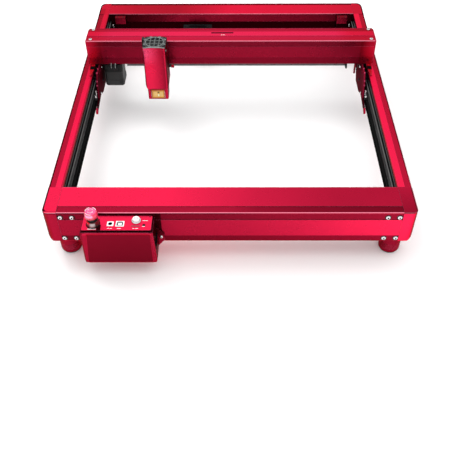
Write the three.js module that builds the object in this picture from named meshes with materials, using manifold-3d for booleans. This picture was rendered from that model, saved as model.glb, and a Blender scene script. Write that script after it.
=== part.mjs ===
// Gantry laser engraver: a rectangular base frame on four feet, a gantry that travels front to back on
// two side rails, and a laser head that travels left to right under the gantry and slides up and down.
// Millimetres, +Z up. The origin is on the floor, at the middle of the overall footprint.
// X runs left to right, Y runs from the operator's side to the back.
import * as THREE from "three";
import { mergeVertices } from "three/addons/utils/BufferGeometryUtils.js";
import Module from "manifold-3d";

const wasm = await Module();
wasm.setup();

// ---------- driving dimensions ----------
// Y is measured from the frame's front face and Z from its top face, unless a group says otherwise.
const FRAME_W = 574; // overall width of the base frame
const FRAME_D = 663; // overall depth of the base frame
const FRAME_H = 64.5; // height of the frame beams
const FOOT_H = 37.5; // height of the feet under the frame
const FOOT_X = 260.5; // centre of a foot, from the middle
const FOOT_INSET = 26; // centre of a foot, in from the front or rear face
const FRONT_BEAM_D = 58; // front beam, front to back
const REAR_BEAM_D = 49; // rear beam, front to back
const SIDE_BEAM_W = 23; // side beam, top flange width
const BOX_D = 35; // the control box stands this far in front of the frame
const SEAM = 0.2; // gap between neighbouring castings and extrusions
const EDGE_R = 16; // rounded lower outer edge of the side beams
const FRONT_R = 11; // rounded vertical corners at the front of the frame
const REAR_R = 17; // rounded vertical corners at the rear
const GROOVE = 1; // depth of the sunk strips along the beams

const HALF_W = FRAME_W / 2;
const BOTTOM_Z = -FRAME_H;
const INNER_X = HALF_W - SIDE_BEAM_W; // inner edge of the side beams' top flange
const REAR_Y = FRAME_D - REAR_BEAM_D; // inner face of the rear beam
const SIDE_BEAM_Y = [FRONT_BEAM_D + SEAM, REAR_Y - SEAM];
const EDGE_CENTRE = [HALF_W - EDGE_R, BOTTOM_Z + EDGE_R]; // (x, z) of the rounded lower edge

const RAIL_Z = -23.5; // centre height of the Y guide rails
const RAIL_W = 13; // height of the Y guide rails
const PLATE_X = 254; // inner face of the gantry side plates
const PLATE_T = 3;

const BELT_Z = -47.5; // axis height of the Y belt pulleys
const BELT_W = 6; // width of the Y belts
const BELT_INNER_X = 260.6; // inner edge of the Y belts
const BELT_X = [BELT_INNER_X, BELT_INNER_X + BELT_W];
const BELT_T = 1.2;
const BELT_R = 6.4; // inside radius of a belt round a pulley
const PULLEY_R = 6.1; // pulley barrel
const FLANGE_R = 8.6;
const IDLER_BORE_R = 2.5;
const FRONT_IDLER_Y = 78;
const SHAFT_Y = 596;
const SHAFT_R = 3;
const SHAFT_BORE_R = SHAFT_R + 0.3;

const GANTRY_Y = 409; // front face of the gantry cover at rest
const GANTRY_D = 48;
const GANTRY_HALF = 273;
const GANTRY_Z = [3, 53]; // lower and upper edge of the cover
const HEAD_X = -138; // centre of the laser head at rest

// ---------- materials ----------
const look = (color, roughness, metalness) => ({ color, roughness, metalness });
const RED = look(0xb3122e, 0.32, 0.75);
const RED_DARK = look(0x8c0f22, 0.35, 0.7);
const BLACK = look(0x17181a, 0.5, 0.35);
const PLASTIC = look(0x202224, 0.6, 0);
const RUBBER = look(0x101010, 0.9, 0);
const STEEL = look(0xb9bcc0, 0.25, 1);
const ALU = look(0xc6c8cb, 0.4, 0.9);
const WHITE = look(0xf1f2f2, 0.3, 0);
const AMBER = look(0xe58a1c, 0.1, 0);
const GREEN = look(0x1d5a35, 0.5, 0);
const BRASS = look(0xb08d3c, 0.3, 1);

// ---------- joining and cutting ----------
function toSolid(geometry) {
  const bare = geometry.clone();
  bare.deleteAttribute("normal");
  bare.deleteAttribute("uv");
  const merged = mergeVertices(bare, 1e-4);
  return new wasm.Manifold(
    new wasm.Mesh({
      numProp: 3,
      vertProperties: new Float32Array(merged.attributes.position.array),
      triVerts: new Uint32Array(merged.index.array),
    }),
  );
}
function toGeometry(solid) {
  const { numVert, numProp, vertProperties, triVerts } = solid.getMesh();
  const positions = new Float32Array(numVert * 3);
  for (let i = 0; i < numVert; i++) {
    positions.set(vertProperties.subarray(i * numProp, i * numProp + 3), i * 3);
  }
  const geometry = new THREE.BufferGeometry()
    .setAttribute("position", new THREE.BufferAttribute(positions, 3))
    .setIndex(new THREE.BufferAttribute(new Uint32Array(triVerts), 1));
  geometry.computeVertexNormals();
  return geometry;
}
const combine = (method) => (first, ...others) =>
  toGeometry(others.reduce((solid, other) => solid[method](toSolid(other)), toSolid(first)));
const cut = combine("subtract");
const join = combine("add");
const common = combine("intersect");

// ---------- solids ----------
// A span is a [low, high] pair along one axis.
const grow = ([low, high], margin) => [low - margin, high + margin];

function prism(points, depth) {
  const shape = new THREE.Shape(points.map(([x, y]) => new THREE.Vector2(x, y)));
  return new THREE.ExtrudeGeometry(shape, { depth, bevelEnabled: false });
}
// A straight prism from z = 0 to depth, with through holes.
function pierced(points, depth, holes) {
  const outer = prism(points, depth);
  if (!holes.length) return outer;
  return cut(outer, ...holes.map((hole) => prism(hole, depth + 2).translate(0, 0, -1)));
}
// A profile drawn in (y, z), pushed along X.
function alongX(points, [x0, x1], holes = []) {
  const axes = new THREE.Matrix4().makeBasis(
    new THREE.Vector3(0, 1, 0),
    new THREE.Vector3(0, 0, 1),
    new THREE.Vector3(1, 0, 0),
  );
  return pierced(points, x1 - x0, holes).applyMatrix4(axes).translate(x0, 0, 0);
}
// A profile drawn in (x, z), pushed along Y.
function alongY(points, [y0, y1]) {
  return prism(points, y1 - y0).rotateX(Math.PI / 2).translate(0, y1, 0);
}
// A profile drawn in (x, y), pushed along Z.
function alongZ(points, [z0, z1], holes = []) {
  return pierced(points, z1 - z0, holes).translate(0, 0, z0);
}
function box([x0, x1], [y0, y1], [z0, z1]) {
  return new THREE.BoxGeometry(x1 - x0, y1 - y0, z1 - z0).translate(
    (x0 + x1) / 2,
    (y0 + y1) / 2,
    (z0 + z1) / 2,
  );
}
// An upright turned part from (radius, z) pairs.
function turned(profile, segments) {
  const points = profile.map(([radius, z]) => new THREE.Vector2(radius, z));
  return new THREE.LatheGeometry(points, segments).rotateX(Math.PI / 2);
}
// A cylinder along Z about (x, y).
function rodZ(radius, [z0, z1], [x, y] = [0, 0], segments = 24) {
  return new THREE.CylinderGeometry(radius, radius, z1 - z0, segments)
    .rotateX(Math.PI / 2)
    .translate(x, y, (z0 + z1) / 2);
}
// A cylinder on the X axis.
function rodX(radius, [x0, x1], segments = 24) {
  return new THREE.CylinderGeometry(radius, radius, x1 - x0, segments)
    .rotateZ(Math.PI / 2)
    .translate((x0 + x1) / 2, 0, 0);
}
// A closed skin through equal-length rings of [x, y, z], capped at both ends.
function loft(rings) {
  const count = rings[0].length;
  const last = (rings.length - 1) * count;
  const index = [];
  for (let k = 0; k < rings.length - 1; k++) {
    for (let i = 0; i < count; i++) {
      const here = k * count + i;
      const next = k * count + ((i + 1) % count);
      index.push(here, next, next + count, here, next + count, here + count);
    }
  }
  for (let i = 1; i < count - 1; i++) {
    index.push(0, i + 1, i);
    index.push(last, last + i, last + i + 1);
  }
  return new THREE.BufferGeometry()
    .setAttribute("position", new THREE.Float32BufferAttribute(rings.flat(2), 3))
    .setIndex(index);
}

// ---------- outlines ----------
// Angles are in degrees.
function arc(centreX, centreY, radius, start, end, steps) {
  const points = [];
  for (let i = 0; i <= steps; i++) {
    const angle = ((start + ((end - start) * i) / steps) * Math.PI) / 180;
    points.push([centreX + radius * Math.cos(angle), centreY + radius * Math.sin(angle)]);
  }
  return points;
}
function circle(x, y, radius, sides = 24) {
  return arc(x, y, radius, 0, 360 - 360 / sides, sides - 1);
}
function rectangle([x0, x1], [y0, y1]) {
  return [[x0, y0], [x1, y0], [x1, y1], [x0, y1]];
}
function roundRect([x0, x1], [y0, y1], radius, steps) {
  return [
    ...arc(x1 - radius, y0 + radius, radius, -90, 0, steps),
    ...arc(x1 - radius, y1 - radius, radius, 0, 90, steps),
    ...arc(x0 + radius, y1 - radius, radius, 90, 180, steps),
    ...arc(x0 + radius, y0 + radius, radius, 180, 270, steps),
  ];
}
function chamferedSquare(half, chamfer) {
  const flat = half - chamfer;
  return [
    [-flat, -half], [flat, -half], [half, -flat], [half, flat],
    [flat, half], [-flat, half], [-half, flat], [-half, -flat],
  ];
}
// Closes half an outline with its mirror image: across a middle first or second coordinate.
function closeAcross(points, middle) {
  return [...points, ...points.map(([a, b]) => [2 * middle - a, b]).reverse()];
}
function closeBelow(points, middle) {
  return [...points, ...points.map(([a, b]) => [a, 2 * middle - b]).reverse()];
}
// A belt round two equal pulleys at (start, across) and (end, across), and the hole inside it.
function beltOutlines(start, end, across) {
  const loop = (radius) => [
    ...arc(end, across, radius, -90, 90, 12),
    ...arc(start, across, radius, 90, 270, 12),
  ];
  return { outer: loop(BELT_R + BELT_T), inner: loop(BELT_R) };
}

// ---------- sides ----------
// Side parts are drawn for the right (+X) side and mirrored for the left.
const SIDES = [
  { name: "left", sign: -1 },
  { name: "right", sign: 1 },
];
const mirror = (points, sign) => points.map(([x, other]) => [sign * x, other]);
const sideSpan = ([inner, outer], sign) => (sign > 0 ? [inner, outer] : [-outer, -inner]);

// ---------- scene ----------
function part(group, name, geometry, material, position = [0, 0, 0]) {
  const mesh = new THREE.Mesh(geometry, new THREE.MeshStandardMaterial(material));
  mesh.name = name;
  mesh.position.set(...position);
  group.add(mesh);
}
function assembly(parent, x, y, z) {
  const group = new THREE.Group();
  group.position.set(x, y, z);
  parent.add(group);
  return group;
}

// ---------- frame ----------
// The two ends of the frame. The edges are (distance in from the end's outer face, z) from the top
// face round to the outer face; toY turns that distance into Y.
const FRONT = {
  name: "front",
  depth: FRONT_BEAM_D,
  cornerR: FRONT_R,
  beamEdge: [
    [14.5, 0], [14.5, -GROOVE], [2, -GROOVE], [2, -0.3], [0.9, -0.3], [0.2, -1], [0, -2.2],
  ],
  cornerEdge: [[1, 0], [0, -1]],
  toY: (distance) => distance,
};
const REAR = {
  name: "rear",
  depth: REAR_BEAM_D,
  cornerR: REAR_R,
  beamEdge: [
    [10, 0], [10, -GROOVE], [3, -GROOVE], [3, -0.3], [1.4, -0.7], [0.4, -1.6], [0, -2.8],
  ],
  cornerEdge: [[2.4, 0], [1.1, -0.5], [0.3, -1.5], [0, -2.8]],
  toY: (distance) => FRAME_D - distance,
};
const spanY = (end, outer, inner) => [end.toY(outer), end.toY(inner)].sort((a, b) => a - b);

// Front or rear beam: a box extrusion with one sunk strip on the top and two on the outer face.
function endBeam({ depth, beamEdge, toY }) {
  const halfLength = INNER_X - SEAM / 2;
  const outline = [
    [depth, 0], ...beamEdge,
    [0, -3.2], [GROOVE, -3.2], [GROOVE, -15.3], [0, -15.3],
    [0, -49.6], [GROOVE, -49.6], [GROOVE, BOTTOM_Z + 3], [2.2, BOTTOM_Z + 0.8], [4, BOTTOM_Z],
    [depth - 2, BOTTOM_Z], [depth, BOTTOM_Z + 2], [depth, BOTTOM_Z + 6],
    [depth - 2, BOTTOM_Z + 6], [depth - 2, -18], [depth, -18],
  ];
  const hollow = rectangle([3.6, depth - 4.4], [-3.4, BOTTOM_Z + 3]);
  const place = (points) => points.map(([distance, z]) => [toY(distance), z]);
  return alongX(place(outline), [-halfLength, halfLength], [place(hollow)]);
}

// Side beam: a channel open to the inside, with a sunk strip along its outer top edge.
function sideBeam(sign) {
  const wall = 2.8;
  const [edgeX, edgeZ] = EDGE_CENTRE;
  const profile = [
    [INNER_X, 0], [275, 0], [275, -GROOVE], [284, -GROOVE],
    [285.5, -1.5], [286.6, -2.7], [HALF_W, -4.2],
    ...arc(edgeX, edgeZ, EDGE_R, 0, -90, 8),
    [268, BOTTOM_Z], [268, BOTTOM_Z + 6], [269.1, BOTTOM_Z + 6], [269.3, BOTTOM_Z + 3.2],
    ...arc(edgeX + 0.2, edgeZ, EDGE_R - wall - 0.2, -90, 0, 8),
    [HALF_W - wall, -3], [INNER_X + 2, -3], [INNER_X + 2, -6], [INNER_X, -6],
  ];
  return alongY(mirror(profile, sign), SIDE_BEAM_Y);
}

// Carrier extrusion inside the channel, with two long grooves; (x, z).
const CARRIER_PROFILE = [
  [270.5, -3.4], [281.7, -3.4], [281.7, -48], [278.5, -56], [271.5, -60.6], [270.5, -60.6],
  [270.5, -52], [272.5, -50], [272.5, -44], [270.5, -42],
  [270.5, -14], [272.2, -12.5], [272.2, -8.5], [270.5, -7],
];
const railCarrier = (sign) => alongY(mirror(CARRIER_PROFILE, sign), grow(SIDE_BEAM_Y, -0.4));

// Guide rail, waisted above and below for the bearing balls.
function yGuideRail(sign) {
  const top = RAIL_Z + RAIL_W / 2;
  const upperHalf = [
    [270.3, top], [266.8, top], [265.8, top - 1], [264.2, top - 1],
    [263.2, top], [261.4, top], [261, top - 0.4],
  ];
  return alongY(mirror(closeBelow(upperHalf, RAIL_Z), sign), grow(SIDE_BEAM_Y, -2));
}

function yBelt(sign) {
  const { outer, inner } = beltOutlines(FRONT_IDLER_Y, SHAFT_Y, BELT_Z);
  return alongX(outer, sideSpan(BELT_X, sign), [inner]);
}

// Corner casting: rounded in plan and along the lower outer edge, hollow towards the beams.
function corner(end, sign) {
  const { depth, cornerR, cornerEdge, toY } = end;
  const innerX = INNER_X + SEAM / 2;
  const bevel = 4; // height and depth of the softened lower edge of the end face
  // (x, distance in from the outer face)
  const plan = [
    [innerX, 0],
    ...arc(HALF_W - cornerR, cornerR, cornerR, -90, 0, 9),
    [HALF_W, depth],
    [innerX, depth],
  ].map(([x, distance]) => [x, toY(distance)]);
  // (x, z)
  const face = [
    [innerX, 0], [HALF_W - 2.8, 0], [HALF_W - 1.4, -0.6], [HALF_W - 0.4, -1.8], [HALF_W, -3.4],
    ...arc(...EDGE_CENTRE, EDGE_R, 0, -90, 8),
    [innerX, BOTTOM_Z],
  ];
  // (distance in from the outer face, z)
  const flank = [
    ...cornerEdge,
    [0, BOTTOM_Z + bevel], [1.2, BOTTOM_Z + 1.2], [bevel, BOTTOM_Z],
    [depth, BOTTOM_Z], [depth, 0],
  ].map(([distance, z]) => [toY(distance), z]);
  const hollow = [
    [innerX - 1, -5], [HALF_W - 6, -5], [HALF_W - 6, -45],
    [HALF_W - 12, BOTTOM_Z + 5], [innerX - 1, BOTTOM_Z + 5],
  ];
  return cut(
    common(
      alongZ(mirror(plan, sign), [BOTTOM_Z, 0]),
      alongY(mirror(face, sign), spanY(end, 0, depth)),
      alongX(flank, sideSpan([innerX, HALF_W], sign)),
    ),
    alongY(mirror(hollow, sign), spanY(end, 9, depth - 4)),
  );
}

// Foot: a turned cylinder with a softened rim.
function foot() {
  const radius = 17;
  const neckR = 15.8;
  const profile = [
    [0, -FOOT_H], [neckR, -FOOT_H], [radius, -FOOT_H + 1.2],
    [radius, -3], [neckR, -1.5], [neckR, -0.2], [0, -0.2],
  ];
  return turned(profile, 36);
}

// Bearing block on the rear beam that carries the cross shaft.
function shaftBearing(sign) {
  const outline = [
    [REAR_Y - 0.2, -62], [REAR_Y - 0.2, -3], [603, -3], [603, -30],
    [SHAFT_Y - 10, BELT_Z + 8], [SHAFT_Y - 10, BELT_Z - 8], [SHAFT_Y - 6, -62],
  ];
  return alongX(outline, sideSpan([228, 250], sign), [circle(SHAFT_Y, BELT_Z, SHAFT_BORE_R)]);
}

function addFrame(machine) {
  part(machine, "front_beam", endBeam(FRONT), RED);
  part(machine, "rear_beam", endBeam(REAR), RED);
  for (const { name, sign } of SIDES) {
    part(machine, `${name}_side_beam`, sideBeam(sign), RED);
    part(machine, `${name}_rail_carrier`, railCarrier(sign), BLACK);
    part(machine, `${name}_y_guide_rail`, yGuideRail(sign), BLACK);
    part(machine, `${name}_y_belt`, yBelt(sign), RUBBER);
    for (const end of [FRONT, REAR]) {
      const footPosition = [sign * FOOT_X, end.toY(FOOT_INSET), BOTTOM_Z];
      part(machine, `${end.name}_${name}_corner`, corner(end, sign), RED);
      part(machine, `${end.name}_${name}_foot`, foot(), RED_DARK, footPosition);
    }
    part(machine, `${name}_shaft_bearing`, shaftBearing(sign), RED_DARK);
  }
}

// ---------- Y drive ----------
// A motor turns one cross shaft with a pulley at each end; each belt returns round a front idler.

// Pulley for a Y belt: a barrel between two flanges, bored through.
function yPulley(sign, boreR) {
  const belt = sideSpan(BELT_X, sign);
  const [x0, x1] = belt;
  const overhang = 1; // outer face of a flange, from the belt's edge
  const gap = 0.3; // inner face of a flange, from the belt's edge
  return cut(
    join(
      rodX(PULLEY_R, grow(belt, overhang)),
      rodX(FLANGE_R, [x0 - overhang, x0 - gap]),
      rodX(FLANGE_R, [x1 + gap, x1 + overhang]),
    ),
    rodX(boreR, grow(belt, 3)),
  );
}

// Square motor with chamfered end blocks; the cross shaft runs through it.
function yMotor() {
  const endBlock = chamferedSquare(17, 3.5);
  const bodyHalf = 15.8304;
  const body = rectangle([-bodyHalf, bodyHalf], [-bodyHalf, bodyHalf]);
  const bore = circle(0, 0, SHAFT_BORE_R);
  return join(
    alongX(endBlock, [-92, -84], [bore]),
    alongX(body, [-84.5, -61.5], [bore]),
    alongX(endBlock, [-62, -54], [bore]),
  );
}

function addYDrive(machine) {
  const shaft = assembly(machine, 0, SHAFT_Y, BELT_Z);
  part(shaft, "sync_shaft", rodX(SHAFT_R, [-268, 268]), STEEL);
  for (const { name, sign } of SIDES) {
    part(shaft, `${name}_y_pulley`, yPulley(sign, SHAFT_BORE_R), ALU);
  }
  for (const { name, sign } of SIDES) {
    const idler = assembly(machine, 0, FRONT_IDLER_Y, BELT_Z);
    part(idler, `${name}_y_idler`, yPulley(sign, IDLER_BORE_R), ALU);
  }
  part(shaft, "y_motor", yMotor(), PLASTIC);
}

// ---------- control box on the left of the front beam ----------
const BOX_LEFT = -223.5;
const BOX_RIGHT = -113.6;
const BOX_BOTTOM = -76;
const BOX_TOP = -7;
const BOX_BACK = -2.6; // rear face of the shell
const PANEL_Z = [BOX_TOP + 0.1, -4.5];
// Controls and sockets on the panel, (x, y).
const ESTOP = [-204.9, -19];
const POWER = [-140.5, -12.8];
const RESET = [-128.5, -21.5];
const DC_JACK = { x: [-183.1, -174.9], y: [-22.9, -15.1], centre: [-179, -19] };
const USB_PORT = { x: [-170.1, -158.9], y: [-23.9, -13.9] };
const SOCKET_GAP = 0.3; // between a socket and its opening
const SOCKET_TOP = -3.9;

function controlShell() {
  const sideR = 4.5; // rounded edges in plan and in side view
  const frontR = 7; // rounded lower corners in front view
  const x = [BOX_LEFT - 2, BOX_RIGHT + 2];
  const frontView = [
    [BOX_LEFT + 1, BOX_TOP],
    ...arc(BOX_LEFT - 1.6 + frontR, BOX_BOTTOM + frontR, frontR, 180, 270, 6),
    ...arc(BOX_RIGHT + 1.2 - frontR, BOX_BOTTOM + frontR, frontR, 270, 360, 6),
    [BOX_RIGHT - 1, BOX_TOP],
  ];
  const plan = [
    [x[0], BOX_BACK],
    ...arc(x[0] + sideR, -BOX_D + sideR, sideR, 180, 270, 6),
    ...arc(x[1] - sideR, -BOX_D + sideR, sideR, 270, 360, 6),
    [x[1], BOX_BACK],
  ];
  const sideView = [
    [BOX_BACK, BOX_TOP],
    [-BOX_D, BOX_TOP],
    ...arc(-BOX_D + sideR, BOX_BOTTOM + sideR, sideR, 180, 270, 6),
    [BOX_BACK, BOX_BOTTOM],
  ];
  return cut(
    common(
      alongY(frontView, [-BOX_D, BOX_BACK]),
      alongZ(plan, [BOX_BOTTOM, BOX_TOP]),
      alongX(sideView, x),
    ),
    box([BOX_LEFT + 3, BOX_RIGHT - 3], [-BOX_D + 3, -5.2], [BOX_BOTTOM + 3, BOX_TOP + 5]),
  );
}

// Rear mounting plate with an ear on each side.
function controlMount() {
  const earX = BOX_LEFT - 11.5;
  const leftHalf = [
    [BOX_LEFT + 4, -12], [BOX_LEFT, -30], [earX, -43], [earX, -57], [BOX_LEFT, -71],
  ];
  return alongY(closeAcross(leftHalf, (BOX_LEFT + BOX_RIGHT) / 2), [-2.3, -0.3]);
}

function controlPanel() {
  const through = grow(PANEL_Z, 2);
  const outline = roundRect([BOX_LEFT + 2.6, BOX_RIGHT - 3.6], [-32, -1.6], 2, 3);
  const opening = ({ x, y }) => box(grow(x, SOCKET_GAP), grow(y, SOCKET_GAP), through);
  return cut(
    alongZ(outline, PANEL_Z),
    rodZ(8.4, through, ESTOP, 32),
    rodZ(5.8, through, POWER, 32),
    rodZ(1.3, through, RESET, 16),
    opening(DC_JACK),
    opening(USB_PORT),
  );
}

// Barrel power jack: a block with a round socket.
function dcJack() {
  return cut(box(DC_JACK.x, DC_JACK.y, [-19, SOCKET_TOP]), rodZ(3.1, [-15, 0], DC_JACK.centre));
}
// Square data port: an open shell with a tongue.
function usbPort() {
  const { x, y } = USB_PORT;
  return join(
    cut(box(x, y, [-20, SOCKET_TOP]), box(grow(x, -1), grow(y, -1), [-17, 0])),
    box([-167.2, -161.8], [-21.2, -16.6], [-18, -4.6]),
  );
}

// Turned controls, as (radius, z).
const ESTOP_COLLAR = [
  [7.6, -4.3], [9.7, -4.3], [9.7, -2.6], [9.1, -1.6],
  [9.1, 4.4], [8.6, 5.2], [7.6, 5.2], [7.6, -4.3],
];
const ESTOP_STEM = [[0, -30], [6.6, -30], [7, -29.5], [7, 9], [0, 9]];
const ESTOP_MUSHROOM = [
  [0, 9.3], [8.2, 9.3], [8.9, 10.3], [9.8, 11.9], [10.3, 13.6], [10.3, 17],
  [9.8, 19.4], [8.6, 21.4], [6.6, 22.8], [4, 23.4], [0, 23.5],
];
const POWER_BEZEL = [[5.7, -4.3], [7.3, -4.3], [7.3, -3], [6.7, -2.2], [5.7, -2.2], [5.7, -4.3]];
const POWER_BUTTON = [[0, -16], [5.4, -16], [5.4, 0.6], [4.6, 1.5], [0, 1.8]];
const RESET_BUTTON = [[0, -14], [1, -14], [1, -5.2], [0, -5.2]];

function addControlBox(machine) {
  part(machine, "control_box_shell", controlShell(), RED);
  part(machine, "control_box_mount", controlMount(), RED_DARK);
  part(machine, "control_panel", controlPanel(), RED);
  part(machine, "control_board", box([-216, -124], [-30, -7], [-42, -40.2]), GREEN);
  part(machine, "dc_jack", dcJack(), PLASTIC);
  part(machine, "usb_port", usbPort(), ALU);

  // Emergency stop: fixed collar, stem, and the mushroom head that also twists to release.
  const estop = assembly(machine, ...ESTOP, 0);
  part(estop, "estop_collar", turned(ESTOP_COLLAR, 36), STEEL);
  part(estop, "estop_stem", turned(ESTOP_STEM, 32), PLASTIC);
  part(estop, "estop_button", turned(ESTOP_MUSHROOM, 40), RED);

  const bezel = assembly(machine, ...POWER, 0);
  part(bezel, "power_button_bezel", turned(POWER_BEZEL, 36), STEEL);
  const power = assembly(machine, ...POWER, 0);
  part(power, "power_button", turned(POWER_BUTTON, 32), WHITE);
  const reset = assembly(machine, ...RESET, 0);
  part(reset, "reset_button", turned(RESET_BUTTON, 16), BLACK);
}

// ---------- gantry ----------
// Inside this group Y is measured from the cover's front face.
const MOTOR_X = -230.5; // centre of the X motor and its pulley
const IDLER_X = 235; // centre of the X idler pulley
const X_BELT_Y = 22; // centre line of the X belt
const X_BELT_Z = [28.6, 36.4];
const X_RAIL_Y = 16; // centre line of the X guide rail
const MOTOR_AXIS = [MOTOR_X, X_BELT_Y];

// Cover: an inverted trough, open below, with a raised strip down the front and back faces.
function gantryCover() {
  const [bottom, top] = GANTRY_Z;
  const relief = 0.9; // depth of the sunk areas
  const wall = 2.6;
  // Front half of the outer skin and the inner skin, (y, z).
  const outerFront = [
    [relief, bottom], [relief, 18], [0, 18], [0, 41], [relief, 41],
    [relief, top - 2.5], [0, top - 2.5], [0, top - 0.8], [0.8, top], [2, top], [2, top - relief],
  ];
  const [front, back] = [outerFront, closeAcross(outerFront, GANTRY_D / 2).slice(outerFront.length)];
  const profile = [
    ...front,
    [19.3, top - relief], [19.3, top], [35, top], [35, top - relief],
    ...back,
    [GANTRY_D - wall, bottom], [GANTRY_D - wall, top - wall], [wall, top - wall], [wall, bottom],
  ];
  return cut(
    alongX(profile, [-GANTRY_HALF, GANTRY_HALF]),
    box([-37, 4.6], [28.2, 31.8], [top - 6, top + 3]), // slot through the top
  );
}

// Inner beam: box extrusion between the side plates, bored for the motor shaft.
function gantryBeam() {
  const wall = 2.5;
  const halfLength = PLATE_X - 0.4;
  const y = [9, 44];
  const z = [1, 24];
  const hollow = rectangle(grow(y, -wall), grow(z, -wall));
  return cut(
    alongX(rectangle(y, z), [-halfLength, halfLength], [hollow]),
    rodZ(5.5, grow(z, 2), MOTOR_AXIS),
  );
}

// Side plate: cut sheet with a forward arm that meets the front beam at the end of travel; (y, z).
const SIDE_PLATE_OUTLINE = [
  [-84, -53.5], [-84, -49], [-80, -46.5], [-52, -42], [-46.5, -32], [-44.5, -14], [-33, 1.6],
  [3.6, 1.6], [3.6, 46], [43.5, 46], [44.5, 40], [44.5, -40], [33, -55], [-6, -55], [-32, -46],
];
function sidePlate(sign) {
  const slot = roundRect([-20, 18], [-8.5, -2.5], 3, 3);
  return alongX(SIDE_PLATE_OUTLINE, sideSpan([PLATE_X, PLATE_X + PLATE_T], sign), [slot]);
}

// Bearing block that wraps the Y guide rail.
function yBearingBlock(sign) {
  const top = RAIL_Z + 12.5;
  const railTop = RAIL_Z + RAIL_W / 2 + 0.4;
  const upperHalf = [[257.3, top], [266.5, top], [266.5, railTop], [260.6, railTop]];
  return alongY(mirror(closeBelow(upperHalf, RAIL_Z), sign), [-24, 36]);
}

// Guide rail under the inner beam, waisted at front and back.
function xGuideRail() {
  const frontHalf = [
    [10, 0.8], [10, -1.6], [11, -2.4], [11, -4], [10, -4.8], [10, -6.6], [10.4, -7],
  ];
  return alongX(closeAcross(frontHalf, X_RAIL_Y), [-203, 223]);
}

function xBelt() {
  const { outer, inner } = beltOutlines(MOTOR_X, IDLER_X, X_BELT_Y);
  return alongZ(outer, X_BELT_Z, [inner]);
}

// Motor that hangs below the left end of the gantry, shaft up.
function xMotor() {
  const widthRatio = 0.925; // left to right over front to back
  const section = (scale) =>
    chamferedSquare(20, 4).map(([x, y]) => [
      MOTOR_X + x * scale * widthRatio,
      X_BELT_Y + y * scale,
    ]);
  return cut(
    join(
      alongZ(section(1), [-46, -35]),
      alongZ(section(0.965), [-35.5, -11.5]),
      alongZ(section(1), [-12, -0.2]),
    ),
    rodZ(3.2, [-20, 4], MOTOR_AXIS),
  );
}

// Barrel and two flanges of an upright pulley.
function xPulleyDiscs() {
  const bottom = 27;
  const top = 38;
  const flangeT = 1.2;
  return [
    rodZ(PULLEY_R, [bottom, top]),
    rodZ(FLANGE_R, [bottom, bottom + flangeT]),
    rodZ(FLANGE_R, [top - flangeT, top]),
  ];
}
const xDrivePulley = () => join(...xPulleyDiscs(), rodZ(2.5, [-18, 40]));
const xIdlerPulley = () => cut(join(...xPulleyDiscs()), rodZ(IDLER_BORE_R, [20, 45]));

function addGantry(machine) {
  const gantry = assembly(machine, 0, GANTRY_Y, 0);
  part(gantry, "gantry_cover", gantryCover(), RED);
  part(gantry, "gantry_beam", gantryBeam(), BLACK);
  for (const { name, sign } of SIDES) {
    part(gantry, `${name}_side_plate`, sidePlate(sign), RED_DARK);
    part(gantry, `${name}_y_bearing_block`, yBearingBlock(sign), BLACK);
  }
  part(gantry, "x_guide_rail", xGuideRail(), STEEL);
  part(gantry, "x_belt", xBelt(), RUBBER);
  part(gantry, "x_motor", xMotor(), PLASTIC);
  part(assembly(gantry, ...MOTOR_AXIS, 0), "x_drive_pulley", xDrivePulley(), ALU);
  part(assembly(gantry, IDLER_X, X_BELT_Y, 0), "x_idler_pulley", xIdlerPulley(), ALU);
  return gantry;
}

// ---------- laser head ----------
// Inside this group X is measured from the laser's centre line and Y from the cover's front face.

// Bearing block under the X guide rail, wrapping its front and back.
function xBearingBlock() {
  const frontHalf = [[2.6, -12.5], [2.6, -1.6], [9.6, -1.6], [9.6, -7.4]];
  return alongX(closeAcross(frontHalf, X_RAIL_Y), [-27, 17]);
}

// Bent bracket: a shelf under the bearing block and an upright in front of the cover.
function carriageBracket() {
  const bottom = -15.7;
  const front = -12;
  const thickness = 3;
  return join(
    box([-27, 17.5], [front, 31], [bottom, bottom + thickness]),
    box([-19, 19.5], [front, front + thickness], [bottom, 60]),
  );
}

// Upright dovetail guide for the focus slide.
function zGuide() {
  const leftHalf = [[-19.5, -12.3], [-19.5, -18], [-6.5, -18], [-8, -22.6]];
  return alongZ(closeAcross(leftHalf, 0), [-10, 68]);
}

// Ribbed thumb knob that locks the focus slide, with its stem.
function focusKnob() {
  const outline = [];
  for (let i = 0; i < 48; i++) {
    const angle = (i / 48) * Math.PI * 2;
    const radius = 2.7 + (i % 4 < 2 ? 0.3 : 0);
    outline.push([radius * Math.cos(angle), radius * Math.sin(angle)]);
  }
  return join(alongX(outline, [23.8, 29.6]), rodX(1.6, [19.8, 24], 20));
}

function addHead(gantry) {
  const head = assembly(gantry, HEAD_X, 0, 0);
  part(head, "x_bearing_block", xBearingBlock(), STEEL);
  part(head, "laser_carriage_bracket", carriageBracket(), RED_DARK);
  part(head, "laser_z_guide", zGuide(), BLACK);
  part(assembly(head, 0, -15.2, 8.3), "focus_knob", focusKnob(), RED);
  return head;
}

// ---------- laser module ----------
const MODULE_W = 41;
const MODULE_D = 42;
const MODULE_FRONT = -63; // front of the laser housing, from the gantry's front face
const MODULE_BACK = MODULE_FRONT + MODULE_D;
const MODULE_HALF = MODULE_W / 2;
const FAN_Y = MODULE_FRONT + 19.3; // fan centre
const FAN_Z = 66;
const across = (half) => [-half, half];

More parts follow.
